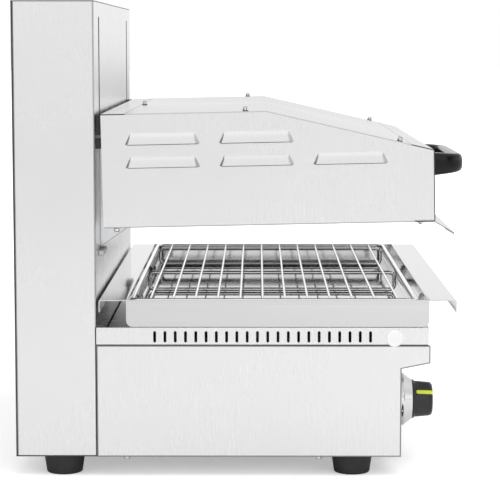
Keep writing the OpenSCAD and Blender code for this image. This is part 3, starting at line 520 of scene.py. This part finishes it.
# A node's rule may name its own material, the heights of a band painted dark as the shade in a gap, the tones of
# raw edges, the painted shade of rounded edges and folds, how far from the middle tones go, and a border of
# painted shade: its width, tone and top.
plainRule = {"material": None, "shadowGap": (0, 0), "rawTone": 1.0, "bevelShade": 0.8, "foldShade": 0.0,
             "tonesTo": 1.0, "shadeBorder": (0, 0, 0)}
# the head's sides: tones stop short of the louvers, and a border of painted shade runs along their lower edge
headSideRule = {"tonesTo": 0.2952, "shadeBorder": (0.0013, 0.5, 0.292)}
edgeRules = {
    "base_lid": {"shadowGap": (0.1484, 0.1493), "foldShade": 0.4}, "slot_stops": {"material": stopPlastic},
    "head_top_cover": {"rawTone": 0.3, "bevelShade": 0.3}, "head_lip": {"rawTone": 0.6, "bevelShade": 0.5},
    "head_side_left": headSideRule, "head_side_right": headSideRule,
    "base_side_left": {"shadeBorder": (0.0015, 0.7, 1)}, "base_side_right": {"shadeBorder": (0.0015, 0.7, 1)},
    "column_shell": {"foldShade": 0.35},
}
edgeWidths = {
    "column_shell": 0.0005, "column_rear_cover": 0.0004, "column_top_cap": 0.0004,
    "base_side_left": 0.0007, "base_side_right": 0.0007, "front_panel": 0.0005, "base_lid": 0.0007,
    "floor_pan": 0.0004, "head_side_left": 0.0007, "head_side_right": 0.0007, "head_rear": 0.0006,
    "head_front": 0.0005, "head_top_cover": 0.0005, "head_lip": 0.0003, "reflector": 0.0003, "pan": 0.0003,
    "lift_arm_left": 0.0005, "lift_arm_right": 0.0005, "slot_stops": 0.0012, "pilot_lamps": 0.0003,
    "handle_screws": 0.0004, "cable_gland": 0.0005, "heater_brackets": 0.0003, "carriage": 0.0005,
    "heater_left": 0, "heater_right": 0, "arm_bolts": 0.0003, "rear_screws": 0.0001, "foot_screws": 0.0003,
    "gas_cylinder_left": 0, "gas_cylinder_right": 0, "gas_rod_left": 0, "gas_rod_right": 0,
    "roller_upper_left": 0.0004, "roller_upper_right": 0.0004, "roller_lower_left": 0.0004,
    "roller_lower_right": 0.0004, "terminal_block": 0.0006, "regulator_left": 0.0006, "regulator_right": 0.0006,
}


def narrow(face, s):  # no wider than the sheet is thick, by 2 area / outline
    return 2 * face.calc_area() / sum(e.calc_length() for e in face.edges) <= s["sheet"]


# A face is a raw edge of the sheet where it is narrow and the faces along its long sides stand square to it.
def isRawEdge(face, s):
    if not narrow(face, s):
        return False
    longest = max(e.calc_length() for e in face.edges)
    sides = [e for e in face.edges if e.calc_length() > s["rawShare"] * longest and len(e.link_faces) == 2]
    return (longest > s["rawLength"] and len(sides) > 1
            and min(e.calc_face_angle() for e in sides) > radians(s["rawTurn"]))


# A face is part of an outer fold where it is narrow and looks neither straight out nor straight
# across: folds are made duller, and they are painted darker as a line of shade.
def isFold(face, s):
    low, high = s["foldFacing"]
    return narrow(face, s) and low < abs(face.normal.x) < high


# Raw edges take their tone and folds take their painted shade. Faces in the gap band are painted fully dark as its
# shade.
def toneFaces(bm, tone, rule, s):
    low, high = rule["shadowGap"]
    for face in bm.faces:
        middle = face.calc_center_median()
        rawAndShaded = isRawEdge(face, s) and abs(middle.x) < rule["tonesTo"]
        bend = rule["foldShade"] if isFold(face, s) and not rawAndShaded else 0.0
        face[tone] = 1.0 if low < middle.z < high else max(rule["rawTone"] * rawAndShaded, bend)


# a border of painted shade round the big outer faces, below its top
def toneBorders(bm, tone, shadeBorder, s):  # of the big outer faces
    width, shade, top = shadeBorder
    plates = [face for face in bm.faces if face.calc_area() > s["plateArea"]
              and face.normal.x * np.sign(face.calc_center_median().x) > s["plateFacing"]]
    for face in bmesh.ops.inset_region(bm, faces=plates, thickness=width, use_even_offset=True)["faces"]:
        face[tone] = shade if face.calc_center_median().z < top else 0.0


def easeEdges(bm, tone, width, rule, s):  # rounds the longer outer edges over
    edges = [e for e in bm.edges if len(e.link_faces) == 2 and e.calc_length() > s["shortest"]
             and e.is_convex and e.calc_face_angle() > radians(s["sharpest"])]
    if not edges:
        return
    made = bmesh.ops.bevel(bm, geom=edges, offset=width, offset_type="OFFSET", segments=s["segments"],
                           profile=0.5, affect="EDGES", clamp_overlap=True, miter_outer="ARC")
    # the rounded faces are painted darker, as shade along the edges
    for face in made["faces"]:
        face[tone] = rule["bevelShade"] if abs(face.calc_center_median().x) < rule["tonesTo"] else 0.0


def sinkLouvers(mesh, s):  # to a tenth of their height, under the pressed hoods that are built below
    spots = np.empty(len(mesh.vertices) * 3, np.float32)
    mesh.vertices.foreach_get("co", spots)
    x = spots[0::3]
    x[:] = np.where(np.abs(x) > headPanel, np.sign(x) * (headPanel + (np.abs(x) - headPanel) * s["sunk"]), x)
    mesh.vertices.foreach_set("co", spots)


# A merged copy of a CAD node with its edges eased, and its raw edges and painted shade toned. It stands for the
# node.
def easedCopy(node, width, rule, s):
    mesh = nodes[node].data.copy()
    mesh.name = node + "Eased"
    bm = bmesh.new()
    bm.from_mesh(mesh)
    bmesh.ops.remove_doubles(bm, verts=bm.verts, dist=s["merge"])
    bmesh.ops.dissolve_limit(bm, angle_limit=radians(s["level"]), verts=bm.verts, edges=bm.edges)
    tone = bm.faces.layers.float.new("edgeTone")
    toneFaces(bm, tone, rule, s)
    if rule["shadeBorder"][0]:
        toneBorders(bm, tone, rule["shadeBorder"], s)
    if width:
        easeEdges(bm, tone, width, rule, s)
    bm.to_mesh(mesh)
    bm.free()
    if rule["tonesTo"] < 1:
        sinkLouvers(mesh, s)
    piece = bpy.data.objects.new(node + "Eased", mesh)
    scene.collection.objects.link(piece)
    return dress(piece, bodyOfNode[node], slotOfNode[node], rule["material"], stands=[node])


for node, width in edgeWidths.items():
    easedCopy(node, width, {**plainRule, **edgeRules.get(node, {})}, easeSettings)
for node, thing in nodes.items():  # the rest stay as the CAD gives them
    thing.data.materials.clear()
    thing.data.materials.append(finish[slotOfNode[node]])
print("sheet pieces done")


# lid bead: a black bead across the lid, in front of the column, which draws a dark line there

lidBeadSettings = {"halfWidth": 0.2972, "along": 0.1570, "height": 0.1684,
                "wide": 0.0022, "tall": 0.0008, "square": 3}


def buildLidBead(s):
    path = [(x, s["along"], s["height"]) for x in np.linspace(-s["halfWidth"], s["halfWidth"], 13)]
    bead = swept(path, softBox(s["wide"], s["tall"], s["square"], 16))
    newPiece("lidBead", bead, "stand", "black_rubber", smooth=50)


buildLidBead(lidBeadSettings)


# pads: black blocks on the head's rear, in its gap to the column, at both ends under the cover

padSettings = {"across": 0.006, "inset": 0.002, "clear": 0.0004, "square": 8,
               "spans": [(0.0015, 0.0235), (0.027, 0.0385)]}


def buildPads(s):
    low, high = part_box("head_rear")
    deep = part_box("column_shell")[0][1] - s["clear"] - high[1]
    section = softBox(s["across"], deep, s["square"], 24)
    for side, sign in (("left", -1), ("right", 1)):
        x = sign * (high[0] - s["inset"] - s["across"] / 2)
        paths = [[(x, high[1] + deep / 2, high[2] - down) for down in (lower, (upper + lower) / 2, upper)]
                 for upper, lower in s["spans"]]
        blocks = joined([swept(path, section, upward=(0, 1, 0)) for path in paths])
        newPiece(f"gap_pads_{side}", blocks, "head", "black_rubber", smooth=50)


buildPads(padSettings)


# louvers: pressed hoods, open below

louverSettings = {"long": 0.081, "tall": 0.0125, "slant": 0.006, "out": 0.005, "topOut": 0.0019, "sheet": 0.0009,
                  "soft": 0.0007, "steepTop": 0.7, "steepRear": 1.7, "steepFront": 1.15, "shoulder": 0.66,
                  "overlap": 0.001, "rearRamp": 0.0044, "frontRamp": 0.0060, "sunk": 0.0002, "deepest": -0.0011,
                  "first": (0.0676, 0.0923), "pitch": 0.1038, "drop": 0.0255, "rows": (2, 3)}


# Over the slanted outline, a louver's height is the least of four slopes: the face, which leans out
# towards the open edge, and a ramp from the top edge and from each end. The least of a and b is
# (a + b - sqrt((a - b)^2 + k^2)) / 2, which rounds the folds.
def buildLouvers(side, s):
    def least(a, b):
        return (a + b - np.sqrt((a - b) ** 2 + s["soft"] ** 2)) / 2
    bend = s["tall"] * s["shoulder"]
    up = np.concatenate([np.linspace(0, bend, 7)[:-1], np.linspace(bend, s["tall"], 13)])[:, None]
    half = s["long"] / 2 + s["overlap"] - s["slant"] * up / s["tall"]
    rear, front = np.linspace(0, s["rearRamp"], 12), np.linspace(s["frontRamp"], 0, 14)
    low, high = rear[-1] - half, half - front[0]
    along = np.concatenate([rear - half, low + (high - low) * np.linspace(0, 1, 9)[1:-1], half - front], 1)
    face = s["out"] - (s["out"] - s["topOut"]) * up / s["tall"]
    ends = least((half + along) * s["steepRear"], (half - along) * s["steepFront"])
    out = least(least(face, (s["tall"] - up) * s["steepTop"]), ends) - s["sunk"]
    skins = (out, np.maximum(out - s["sheet"], s["deepest"]))
    sign = -1 if side == "left" else 1
    parts = []
    for row, count in enumerate(s["rows"]):
        for column in range(count):
            start, level = s["first"][0] + s["pitch"] * column, s["first"][1] - s["drop"] * row
            grids = [np.stack([sign * (headPanel + x), start + along, level + up + 0 * along], -1) for x in skins]
            parts.append(shellOf(*[inHead(grid) for grid in grids]))
    newPiece("louverHoods_" + side, joined(parts), "head", "body_steel", smooth=25)


for side in ("left", "right"):
    buildLouvers(side, louverSettings)
print("louvers done")


# grate: rods bent and welded

grateSettings = {"wireRadius": 0.0014, "rodRadius": 0.0025, "wires": 12, "firstWire": 0.1505, "pitch": 0.02522,
                 "halfWidth": 0.2883, "back": 0.1302, "front": 0.4482, "corner": 0.010, "height": 0.1976,
                 "loopX": 0.2803, "loopLow": 0.1726, "loopHigh": 0.1940, "loopInset": 0.004, "loopCorner": 0.006,
                 "wireShort": 0.0012, "bow": 0.00018, "bowTurn": 1.9, "nuggetUp": 0.0022,
                 "nugget": (0.0021, 0.0019, 0.0016), "endNugget": (0.0016, 0.0019, 0.0018)}


# Every rod is a circle carried along its path. Each wire bows by b sin(k) sin(pi x / end), with its own k,
# as straightened wire does. A weld nugget is a flattened ball.
def buildGrate(s):
    def rear(d):
        return backOfMachine - d
    parts = []
    w, h = s["halfWidth"], s["height"]
    ring = rounded([(-w, rear(s["back"]), h), (w, rear(s["back"]), h), (w, rear(s["front"]), h),
                    (-w, rear(s["front"]), h)], s["corner"], 7, closed=True)
    parts.append(swept(ring, circle(s["rodRadius"], 24), closed=True))
    b, f = rear(s["back"] + s["loopInset"]), rear(s["front"] - s["loopInset"])
    loops = (-s["loopX"], 0, s["loopX"])
    for x in loops:
        loop = rounded([(x, b, s["loopLow"]), (x, b, s["loopHigh"]), (x, f, s["loopHigh"]), (x, f, s["loopLow"])],
                       s["loopCorner"], 7, closed=True)
        parts.append(swept(loop, circle(s["rodRadius"], 24), closed=True, upward=(1, 0, 0)))
    places = rear(s["firstWire"] + s["pitch"] * np.arange(s["wires"]))
    end = w - s["wireShort"]
    run = np.linspace(-end, end, 25)
    for k, y in enumerate(places):
        bow = s["bow"] * np.sin(k * s["bowTurn"]) * np.sin(run / end * pi)
        path = np.stack([run, y + bow, np.full_like(run, h)], -1)
        parts.append(swept(path, circle(s["wireRadius"], 16)))
    u, v = np.linspace(0, pi, 7)[1:-1], angles(12)
    ball = np.stack([np.outer(np.sin(u), np.cos(v)), np.outer(np.sin(u), np.sin(v)),
                     np.repeat(np.cos(u)[:, None], 12, 1)], -1).reshape(-1, 3)
    faces = list(gridFaces(5, 12, closeColumns=True)) + [np.arange(12), np.arange(12)[::-1] + 48]
    for y in places:
        for x in loops:
            parts.append((ball * s["nugget"] + (x, y, s["loopHigh"] + s["nuggetUp"]), faces))
        for x in (-end, end):
            parts.append((ball * s["endNugget"] + (x - np.sign(x) * s["wireShort"], y, h), faces))
    newPiece("grateOfRods", joined(parts), "grate", "grate_chrome", smooth=60,
             stands=["grate_wires", "grate_rails"])


buildGrate(grateSettings)
print("grate done")


# handle: a moulded bow

handleSettings = {"halfLength": 0.109, "out": 0.053, "bar": 0.017, "rootHeight": 0.0295, "tipHeight": 0.0222,
                  "corner": 0.0185, "middle": 0.0512, "rise": 0.0008, "headLength": 0.3681, "fall": 1.35,
                  "slimmer": 0.04, "rootSquare": 5.5, "tipSquare": 3.2, "bendWider": 0.0014,
                  "bendAcross": (0.006, 0.012), "bendAlong": (0.85, 0.25)}


# The bar follows a bow from foot to foot. Its section is a soft box, which is tall at the feet,
# thinner and rounder at the front, and wider in the two bends by exp(-u^2) exp(-v^2) about their middles.
def buildHandle(s):
    half, out = s["halfLength"] - s["bar"] / 2, s["out"] - s["bar"] / 2
    steps = 16
    bow = rounded([(-half, 0), (-half, out), (half, out), (half, 0)], s["corner"], steps)
    n = steps + 1  # points in one bend
    path = np.concatenate([np.linspace(bow[0], bow[1], 9)[:-1], bow[1:n + 1],
                           np.linspace(bow[n], bow[n + 1], 24)[1:-1], bow[n + 1:2 * n + 1],
                           np.linspace(bow[2 * n], bow[2 * n + 1], 9)[1:]])
    way = np.clip(path[:, 1] / out, 0, 1)  # 0 at the feet, 1 along the front
    tall = s["rootHeight"] - (s["rootHeight"] - s["tipHeight"]) * way ** s["fall"]
    (inward, spread), (start, reach) = s["bendAcross"], s["bendAlong"]
    bend = np.exp(-((np.abs(path[:, 0]) - (half - inward)) / spread) ** 2) * np.exp(-((way - start) / reach) ** 2)
    wide = s["bar"] * (1 - s["slimmer"] * way) + s["bendWider"] * bend
    square = s["rootSquare"] - (s["rootSquare"] - s["tipSquare"]) * way
    shapes = np.stack([softBox(a, b, c) for a, b, c in zip(wide, tall, square)])
    spots = np.stack([path[:, 0], s["headLength"] + path[:, 1], s["middle"] + s["rise"] * way], -1)
    tube = swept(spots, shapes)
    newPiece("handleBow", (inHead(tube[0]), tube[1]), "head", "black_plastic", smooth=50, stands=["handle"])


buildHandle(handleSettings)
print("handle done")


# knobs, pointers and bezels

knobSettings = {"root": 0.0184, "flange": 0.0226, "flangeTall": 0.002, "rootRadius": 0.021, "faceRadius": 0.0192,
                "tip": 0.0418, "corner": 0.004, "softEdges": [0.0004, 0.0006, 0.0005], "spacing": 0.0012,
                "flutes": 84, "fluteDepth": 0.00022, "gripFrom": 0.0012, "gripTo": 0.8, "gripOutside": 0.018,
                "gripFades": (0.0008, 0.0012), "dish": 0.0006, "dishRadius": 0.0135, "faceDepth": 0.0002}


# The knob's outline: flange, tapered side, rounded edge and flat face, with points at most 1.2 mm apart.
def knobOutline(s):
    coarse = rounded([(0, s["root"]), (s["flange"], s["root"]), (s["flange"], s["root"] + s["flangeTall"]),
                      (s["rootRadius"], s["root"] + s["flangeTall"]), (s["faceRadius"], s["tip"]), (0, s["tip"])],
                     s["softEdges"] + [s["corner"]], 7)
    lengths = lengthsAlong(coarse)
    return pointsAt(coarse, np.union1d(lengths, np.arange(0, lengths[-1], s["spacing"])))


# The side's radius is r - depth (1 + cos(n a)) / 2 between the flange and the rounded edge: grip flutes.
# The face sinks by dish (1 - (r / R)^4).
def buildKnob(side, s):
    outline = knobOutline(s)
    count = s["flutes"] * 5
    points, faces = turned(outline, count)
    rows = len(outline) - 2
    grid = points[:rows * count].reshape(rows, count, 3)
    radius, height = outline[1:-1, 0], outline[1:-1, 1]
    low, high = s["root"] + s["flangeTall"] + s["gripFrom"], s["tip"] - s["corner"] * s["gripTo"]
    fadeIn, fadeOut = s["gripFades"]
    grip = np.clip((height - low) / fadeIn, 0, 1) * np.clip((high - height) / fadeOut, 0, 1)
    grip = grip * (radius > s["gripOutside"])
    dent = grip[:, None] * s["fluteDepth"] * (0.5 + 0.5 * np.cos(s["flutes"] * angles(count)))
    grid[..., :2] *= (1 - dent / np.maximum(radius[:, None], 0.001))[..., None]
    face = height > s["tip"] - s["faceDepth"]
    grid[..., 2] -= (np.clip(1 - (radius / s["dishRadius"]) ** 4, 0, 1) * s["dish"] * face)[:, None]
    points[-1, 2] -= s["dish"]
    newPiece("knobGrip_" + side, moved((points, faces), knobPlaces[side]), side + "_knob", "black_plastic",
             knobPlastic, 35, ["knob_" + side])


pointerSettings = {"turn": 57, "width": 0.0046, "start": 0.0222, "end": 0.0145, "rows": 60,
                   "across": [-1, -0.94, -0.6, 0, 0.6, 0.94, 1, 1, -1],
                   "lift": [-0.0001, 0.00012, 0.0002, 0.0002, 0.0002, 0.00012, -0.0001, -0.0008, -0.0008]}


# A strip laid on the knob's outline from near the flange, over the edge and onto the face. Its width at the
# start is 2 sqrt(r^2 - (r - s)^2), which rounds that end off. Its section runs across by lift.
def buildPointer(side, s, knob):
    outline = knobOutline(knob)
    keep = outline[(outline[:, 1] > s["start"]) & (outline[:, 0] > s["end"])]
    along = np.linspace(0, lengthsAlong(keep)[-1], s["rows"])
    line = pointsAt(keep, along)
    slope = unit(np.gradient(line, axis=0))
    normal = np.stack([slope[:, 1], -slope[:, 0]], -1)
    r = s["width"] / 2
    half = r * np.sqrt(np.clip(1 - ((r - along) / r).clip(0, 1) ** 2, 0.02, 1))
    across, lift = np.array(s["across"]), np.array(s["lift"])
    x = half[:, None] * across
    rim = line[:, :1] + normal[:, :1] * lift
    y = np.sqrt(np.maximum(rim ** 2 - x ** 2, 1e-8))
    z = line[:, 1:] + normal[:, 1:] * lift
    rows, columns = x.shape
    ends = [np.arange(columns)[::-1], np.arange(columns) + (rows - 1) * columns]
    faces = list(gridFaces(rows, columns, closeColumns=True)) + ends
    turn = knobPlaces[side] @ Matrix.Rotation(radians(s["turn"]), 4, "Z")
    newPiece("pointerStrip_" + side, moved((np.stack([x, y, z], -1).reshape(-1, 3), faces), turn),
             side + "_knob", "pointer_green", stands=["pointer_" + side])


bezelSettings = {"radius": 0.0305, "rim": 0.008, "height": 0.018, "top": 0.0228, "hole": 0.008, "thick": 0.0012,
                 "softEdges": [0.0003, 0.0005, 0.0022, 0.0009, 0.0003, 0.0003, 0.0004, 0.0012],
                 "topInside": 0.0008, "rimInside": 0.0007,
                 "indexTurn": 0.29, "markHeight": 0.0058, "markRoot": 0.0002,
                 "marks": [("indexInk_", 0.28, 0.00125, 0.00006, "black_plastic", markInk),
                           ("indexDot_", 0.034, 0.0007, 0.00012, "white_plastic", None)]}


# A spun cone: rim, rounded shoulder, cone, and a flat ring under the knob. Its index is a printed lens
# of ink with a white dot: z = half height x sqrt(1 - a^2) across the rim's side.
def buildBezel(side, s):
    t = s["thick"]
    outline = rounded([(s["radius"] - t, 0), (s["radius"], 0), (s["radius"], s["rim"]), (s["top"], s["height"]),
                       (s["hole"], s["height"]), (s["hole"], s["height"] - t),
                       (s["top"] - s["topInside"], s["height"] - t), (s["radius"] - t, s["rim"] - s["rimInside"])],
                      s["softEdges"], 6, closed=True)
    cone = moved(turned(outline, 120, ring=True), knobPlaces[side])
    newPiece("bezelCone_" + side, cone, "stand", "bezel_metal", smooth=35, stands=["bezel_" + side])
    a, b = np.meshgrid(np.linspace(-1, 1, 41), np.linspace(-1, 1, 9))
    for name, wide, tall, over, slot, ink in s["marks"]:
        z = s["markHeight"] + b * tall * np.sqrt(np.clip(1 - a ** 2, 0.001, 1))
        turn = a * wide - s["indexTurn"]
        skins = [np.stack([-r * np.cos(turn), r * np.sin(turn), z], -1)
                 for r in (s["radius"] + over, s["radius"] - s["markRoot"])]
        newPiece(name + side, moved(shellOf(*skins), knobPlaces[side]), "stand", slot, ink)


for side in ("left", "right"):
    buildKnob(side, knobSettings)
    buildPointer(side, pointerSettings, knobSettings)
    buildBezel(side, bezelSettings)
print("knobs done")


# feet, hole plug and screws

footSettings = {"places": [(x, y, 0) for x in (-0.2725, 0.2725) for y in (0.208, -0.1177)],
                "low": 0.020, "top": 0.0233, "height": 0.022, "bore": 0.009, "boreDeep": 0.012, "hole": 0.0032,
                "bead": 0.0018, "beadOut": 0.0004,
                "softEdges": [0.0008, 0.0022, 0.0002, 0.0003, 0.0006, 0.0002, 0.0002, 0.0006]}


# A tapered rubber buffer with a rounded sole, a bead under the body and its screw's bore.
def buildFeet(s):
    beadFoot = s["height"] - s["bead"]
    outline = rounded([(s["bore"], 0), (s["low"], 0), (s["top"] - s["beadOut"], beadFoot - s["beadOut"]),
                       (s["top"], beadFoot), (s["top"], s["height"]), (s["hole"], s["height"]),
                       (s["hole"], s["boreDeep"]), (s["bore"], s["boreDeep"])], s["softEdges"], 6, closed=True)
    foot = turned(outline, 72, ring=True)
    newPiece("rubberFeet", joined([moved(foot, Matrix.Translation(place)) for place in s["places"]]),
             "stand", "black_rubber", smooth=35, stands=["feet"])


buildFeet(footSettings)


plugSettings = {"place": (-0.2985, -0.1633, 0.15625),
                "outline": [(0, -0.004), (0.0048, -0.004), (0.0048, 0), (0.0095, 0), (0.0093, 0.0012),
                            (0.0084, 0.0015), (0.0066, 0.0015), (0.0064, 0.0013), (0, 0.00135)],
                "softEdges": [0.0003, 0.0001, 0.0002, 0.0006, 0.0006, 0.0002, 0.0002]}


# The plug's cap: a flat disc with a rounded edge and a faint moulded ring, over its stem.
def buildPlug(s):
    cap = turned(rounded(s["outline"], s["softEdges"], 4), 72)
    place = Matrix.Translation(s["place"]) @ Matrix.Rotation(radians(-90), 4, "Y")
    newPiece("holeCap", moved(cap, place), "stand", "white_plastic", smooth=35, stands=["hole_plug"])


buildPlug(plugSettings)


# the head's screws get painted shade round the foot and in the recess
screwSettings = {"radius": 0.0032, "height": 0.0050, "fall": 0.4, "edge": 0.0011, "shank": 0.0017,
                 "length": 0.007, "recess": 0.0007, "armHalf": 0.00045, "armLong": 0.0021,
                 "armSides": (0.0001, 0.0002), "count": 96,
                 "screwShade": 0.85, "screwShadeFoot": 0.0011, "screwShadeTop": 0.0042, "screwShadeRadius": 0.0029,
                 "base": [(x, y, 0.022) for x in (-0.2903, 0.2903) for y in (0.136, -0.0797)],
                 "middle": (0, 0.032, 0.1264, 0, 21), "sides": ((-1, 12), (1, 57)),
                 "cover": ((0.286, 0.160, 0.1264, 0, 0), (0.286, 0.3301, 0.0895, 14.07, 31)),
                 "under": ((0.287, 0.014, 0, 180, 8), (0.255, 0.3551, -0.0012, 180, 40))}


# A tall round head with a cross recess. The top is h (1 - 0.4 t^4) at t = r / R, less the cross, whose arms
# are 1 inside half their width and length and fall to 0 over armSides.
def screwHead(s):
    count, radius, height = s["count"], s["radius"], s["height"]
    t = np.concatenate([np.linspace(0.04, 0.62, 18), np.linspace(0.66, 1, 9)])[:, None]
    a = angles(count)[None, :]
    x, y = radius * t * np.cos(a), radius * t * np.sin(a)

    def arm(p, q):
        side, tip = s["armSides"]
        return (np.clip((s["armHalf"] - np.abs(p)) / side + 1, 0, 1)
                * np.clip((s["armLong"] - np.abs(q)) / tip + 1, 0, 1))
    z = height * (1 - s["fall"] * t ** 4) - s["recess"] * np.maximum(arm(x, y), arm(y, x))
    rows = [np.stack([x, y, z], -1)]
    for r, level in ((radius, s["edge"]), (radius * 0.99, 0), (s["shank"], 0), (s["shank"], -s["length"])):
        rows.append(np.stack([r * np.cos(a), r * np.sin(a), level + 0 * a], -1))
    points = np.concatenate(rows).reshape(-1, 3)
    n = len(points) // count
    faces = list(gridFaces(n, count, closeColumns=True))
    points = np.concatenate([points, [[0, 0, height - s["recess"]]]])
    j = np.arange(count)
    faces += list(np.stack([np.full(count, len(points) - 1), (j + 1) % count, j], -1))
    faces.append(j[::-1] + (n - 1) * count)
    return points, faces


# The head's screws are painted dark round the foot and in the recess, as shade. Each stands at (across, along,
# up, tip, spin) in the head's frame, on both sides, and a side adds its own turn to the spin.
def buildScrews(s):
    head = screwHead(s)
    middles = np.array([head[0][face].mean(0) for face in head[1]])
    reach = np.hypot(middles[:, 0], middles[:, 1])
    foot = middles[:, 2] < s["screwShadeFoot"]
    top = (reach < s["screwShadeRadius"]) & (middles[:, 2] > s["screwShadeTop"])
    screwShaded = s["screwShade"] * (foot | top)

    def standing(x, u, v, tip, spin):
        local = Matrix.Translation((x, -u, v)) @ Matrix.Rotation(radians(tip), 4, "X")
        return moved(head, headPlace @ local @ Matrix.Rotation(radians(spin), 4, "Z"))
    cover, under = [[standing(sign * x, u, v, tip, turn + spin) for sign, turn in s["sides"]
                     for x, u, v, tip, spin in s[place]] for place in ("cover", "under")]
    cover.insert(0, standing(*s["middle"]))
    base = [moved(head, Matrix.Translation(place) @ Matrix.Rotation(pi, 4, "X")) for place in s["base"]]
    for name, screws, body, node in (("floorScrews", base, "stand", "floor_screws"),
                                     ("coverScrews", cover, "head", "cover_screws"),
                                     ("undersideScrews", under, "head", "underside_screws")):
        newPiece(name, joined(screws), body, "screw_steel", smooth=35, stands=[node],
                 rawEdgeAndShadeTones=np.tile(screwShaded * (body == "head"), len(screws)))


buildScrews(screwSettings)
print("small parts done")


# floor and light

stageSettings = {"floorHalf": 30, "floorShade": 0.80, "liftNear": 0.38, "liftFar": 1.0, "liftMirrored": 0.08,
                 "near": 0.5, "far": 1.6, "skyForPaint": 0.62, "skyForGloss": 0.93,
                 "skyByHeight": [(0.0, 1.17), (0.15, 1.14), (0.32, 0.80), (0.5, 0.95), (1.0, 1.12)],
                 "nearShare": 0.07, "flags": 0.95, "flagShade": 0.02, "flagTall": (1.5, 2),
                 "rearFrom": 0.5, "rearFade": 0.25, "frontMiddle": -0.66, "frontHalf": 0.30, "frontFade": -5}


# A pale floor that keeps the shadow near the machine and turns white further out.
def layFloor(s):
    mesh = bpy.data.meshes.new("studioFloor")
    r = s["floorHalf"]
    mesh.from_pydata([(-r, -r, 0), (r, -r, 0), (r, r, 0), (-r, r, 0)], [], [(0, 1, 2, 3)])
    floor = bpy.data.objects.new("studioFloor", mesh)
    scene.collection.objects.link(floor)
    material = bpy.data.materials.new("studioFloor")
    t = Tree(material)
    place = t.add("ShaderNodeTexCoord", out=3)
    away = t.add("ShaderNodeVectorMath", {"operation": "LENGTH"}, [place], out=1)
    far = ((away - s["near"]) / (s["far"] - s["near"])).kept()
    paper = t.add("ShaderNodeBsdfDiffuse", {}, {"Color": grey(s["floorShade"])})
    seen = t.add("ShaderNodeLightPath", out=0)
    glow = (seen * (far * (s["liftFar"] - s["liftNear"]) + s["liftNear"])
            + t.mirrored() * far * s["liftMirrored"])
    lift = t.add("ShaderNodeEmission", {}, {"Color": grey(1), "Strength": glow})
    t.add("ShaderNodeOutputMaterial", {}, {"Surface": t.add("ShaderNodeAddShader", {}, [paper, lift])})
    mesh.materials.append(material)


# A white studio. What gloss mirrors goes by height, is brighter on the photographer's side, and has black
# flags at the rear side and between the photographer and the front, so that folds show a dark line.
def lightStudio(s):
    world = bpy.data.worlds.new("studio")
    scene.world = world
    t = Tree(world)
    direction = t.add("ShaderNodeTexCoord", out=0)
    ahead, aside, climb = [t.add("ShaderNodeSeparateXYZ", {}, [direction], out=k) for k in range(3)]
    sky = t.add("ShaderNodeValToRGB", {"stops": s["skyByHeight"]}, [climb])
    sky = t.add("ShaderNodeVectorMath", {"operation": "SCALE"},
                {"Vector": sky, "Scale": 1 - ahead * s["nearShare"]})
    most, fall = s["flagTall"]
    tall = (most - climb.size() * fall).kept()
    rearFlag = ((aside - s["rearFrom"]) / s["rearFade"]).kept() * tall
    across = (1 - ((aside - s["frontMiddle"]).size() / s["frontHalf"]) ** 2).kept()
    frontFlag = across * (ahead * s["frontFade"]).kept() * tall
    sky = t.tint((rearFlag + frontFlag).kept() * s["flags"], sky, grey(s["flagShade"]))
    seen = t.add("ShaderNodeLightPath", out=0)
    plain, gloss, white = [t.add("ShaderNodeBackground", {}, {"Color": colour, "Strength": strength})
                           for colour, strength in ((grey(1), s["skyForPaint"]), (sky, s["skyForGloss"]),
                                                    (grey(1), 1.0))]
    both = t.add("ShaderNodeMixShader", {}, [t.mirrored(), plain, gloss])
    both = t.add("ShaderNodeMixShader", {}, [seen, both, white])
    t.add("ShaderNodeOutputWorld", {}, {"Surface": both})


lampSettings = {"aim": (0, 0, 0.25), "lamps": [  # name, place, size, watts
    ("topBox", (-0.7, -0.5, 2.4), 2.2, 34),
    ("cameraFill", (-2.6, -1.4, 1.2), 1.6, 18),
    ("farFill", (1.8, -1.2, 1.4), 1.6, 10),
    ("backFill", (0.4, 2.2, 1.6), 1.6, 9),
]}


def hangLamps(s):
    for name, place, size, watts in s["lamps"]:
        light = bpy.data.lights.new(name, "AREA")
        light.shape, light.size, light.energy = "SQUARE", size, watts
        lamp = bpy.data.objects.new(name, light)
        lamp.visible_glossy = False
        lamp.location = place
        lamp.rotation_euler = (Vector(s["aim"]) - Vector(place)).to_track_quat("-Z", "Y").to_euler()
        scene.collection.objects.link(lamp)


layFloor(stageSettings)
lightStudio(stageSettings)
hangLamps(lampSettings)
print("stage done")
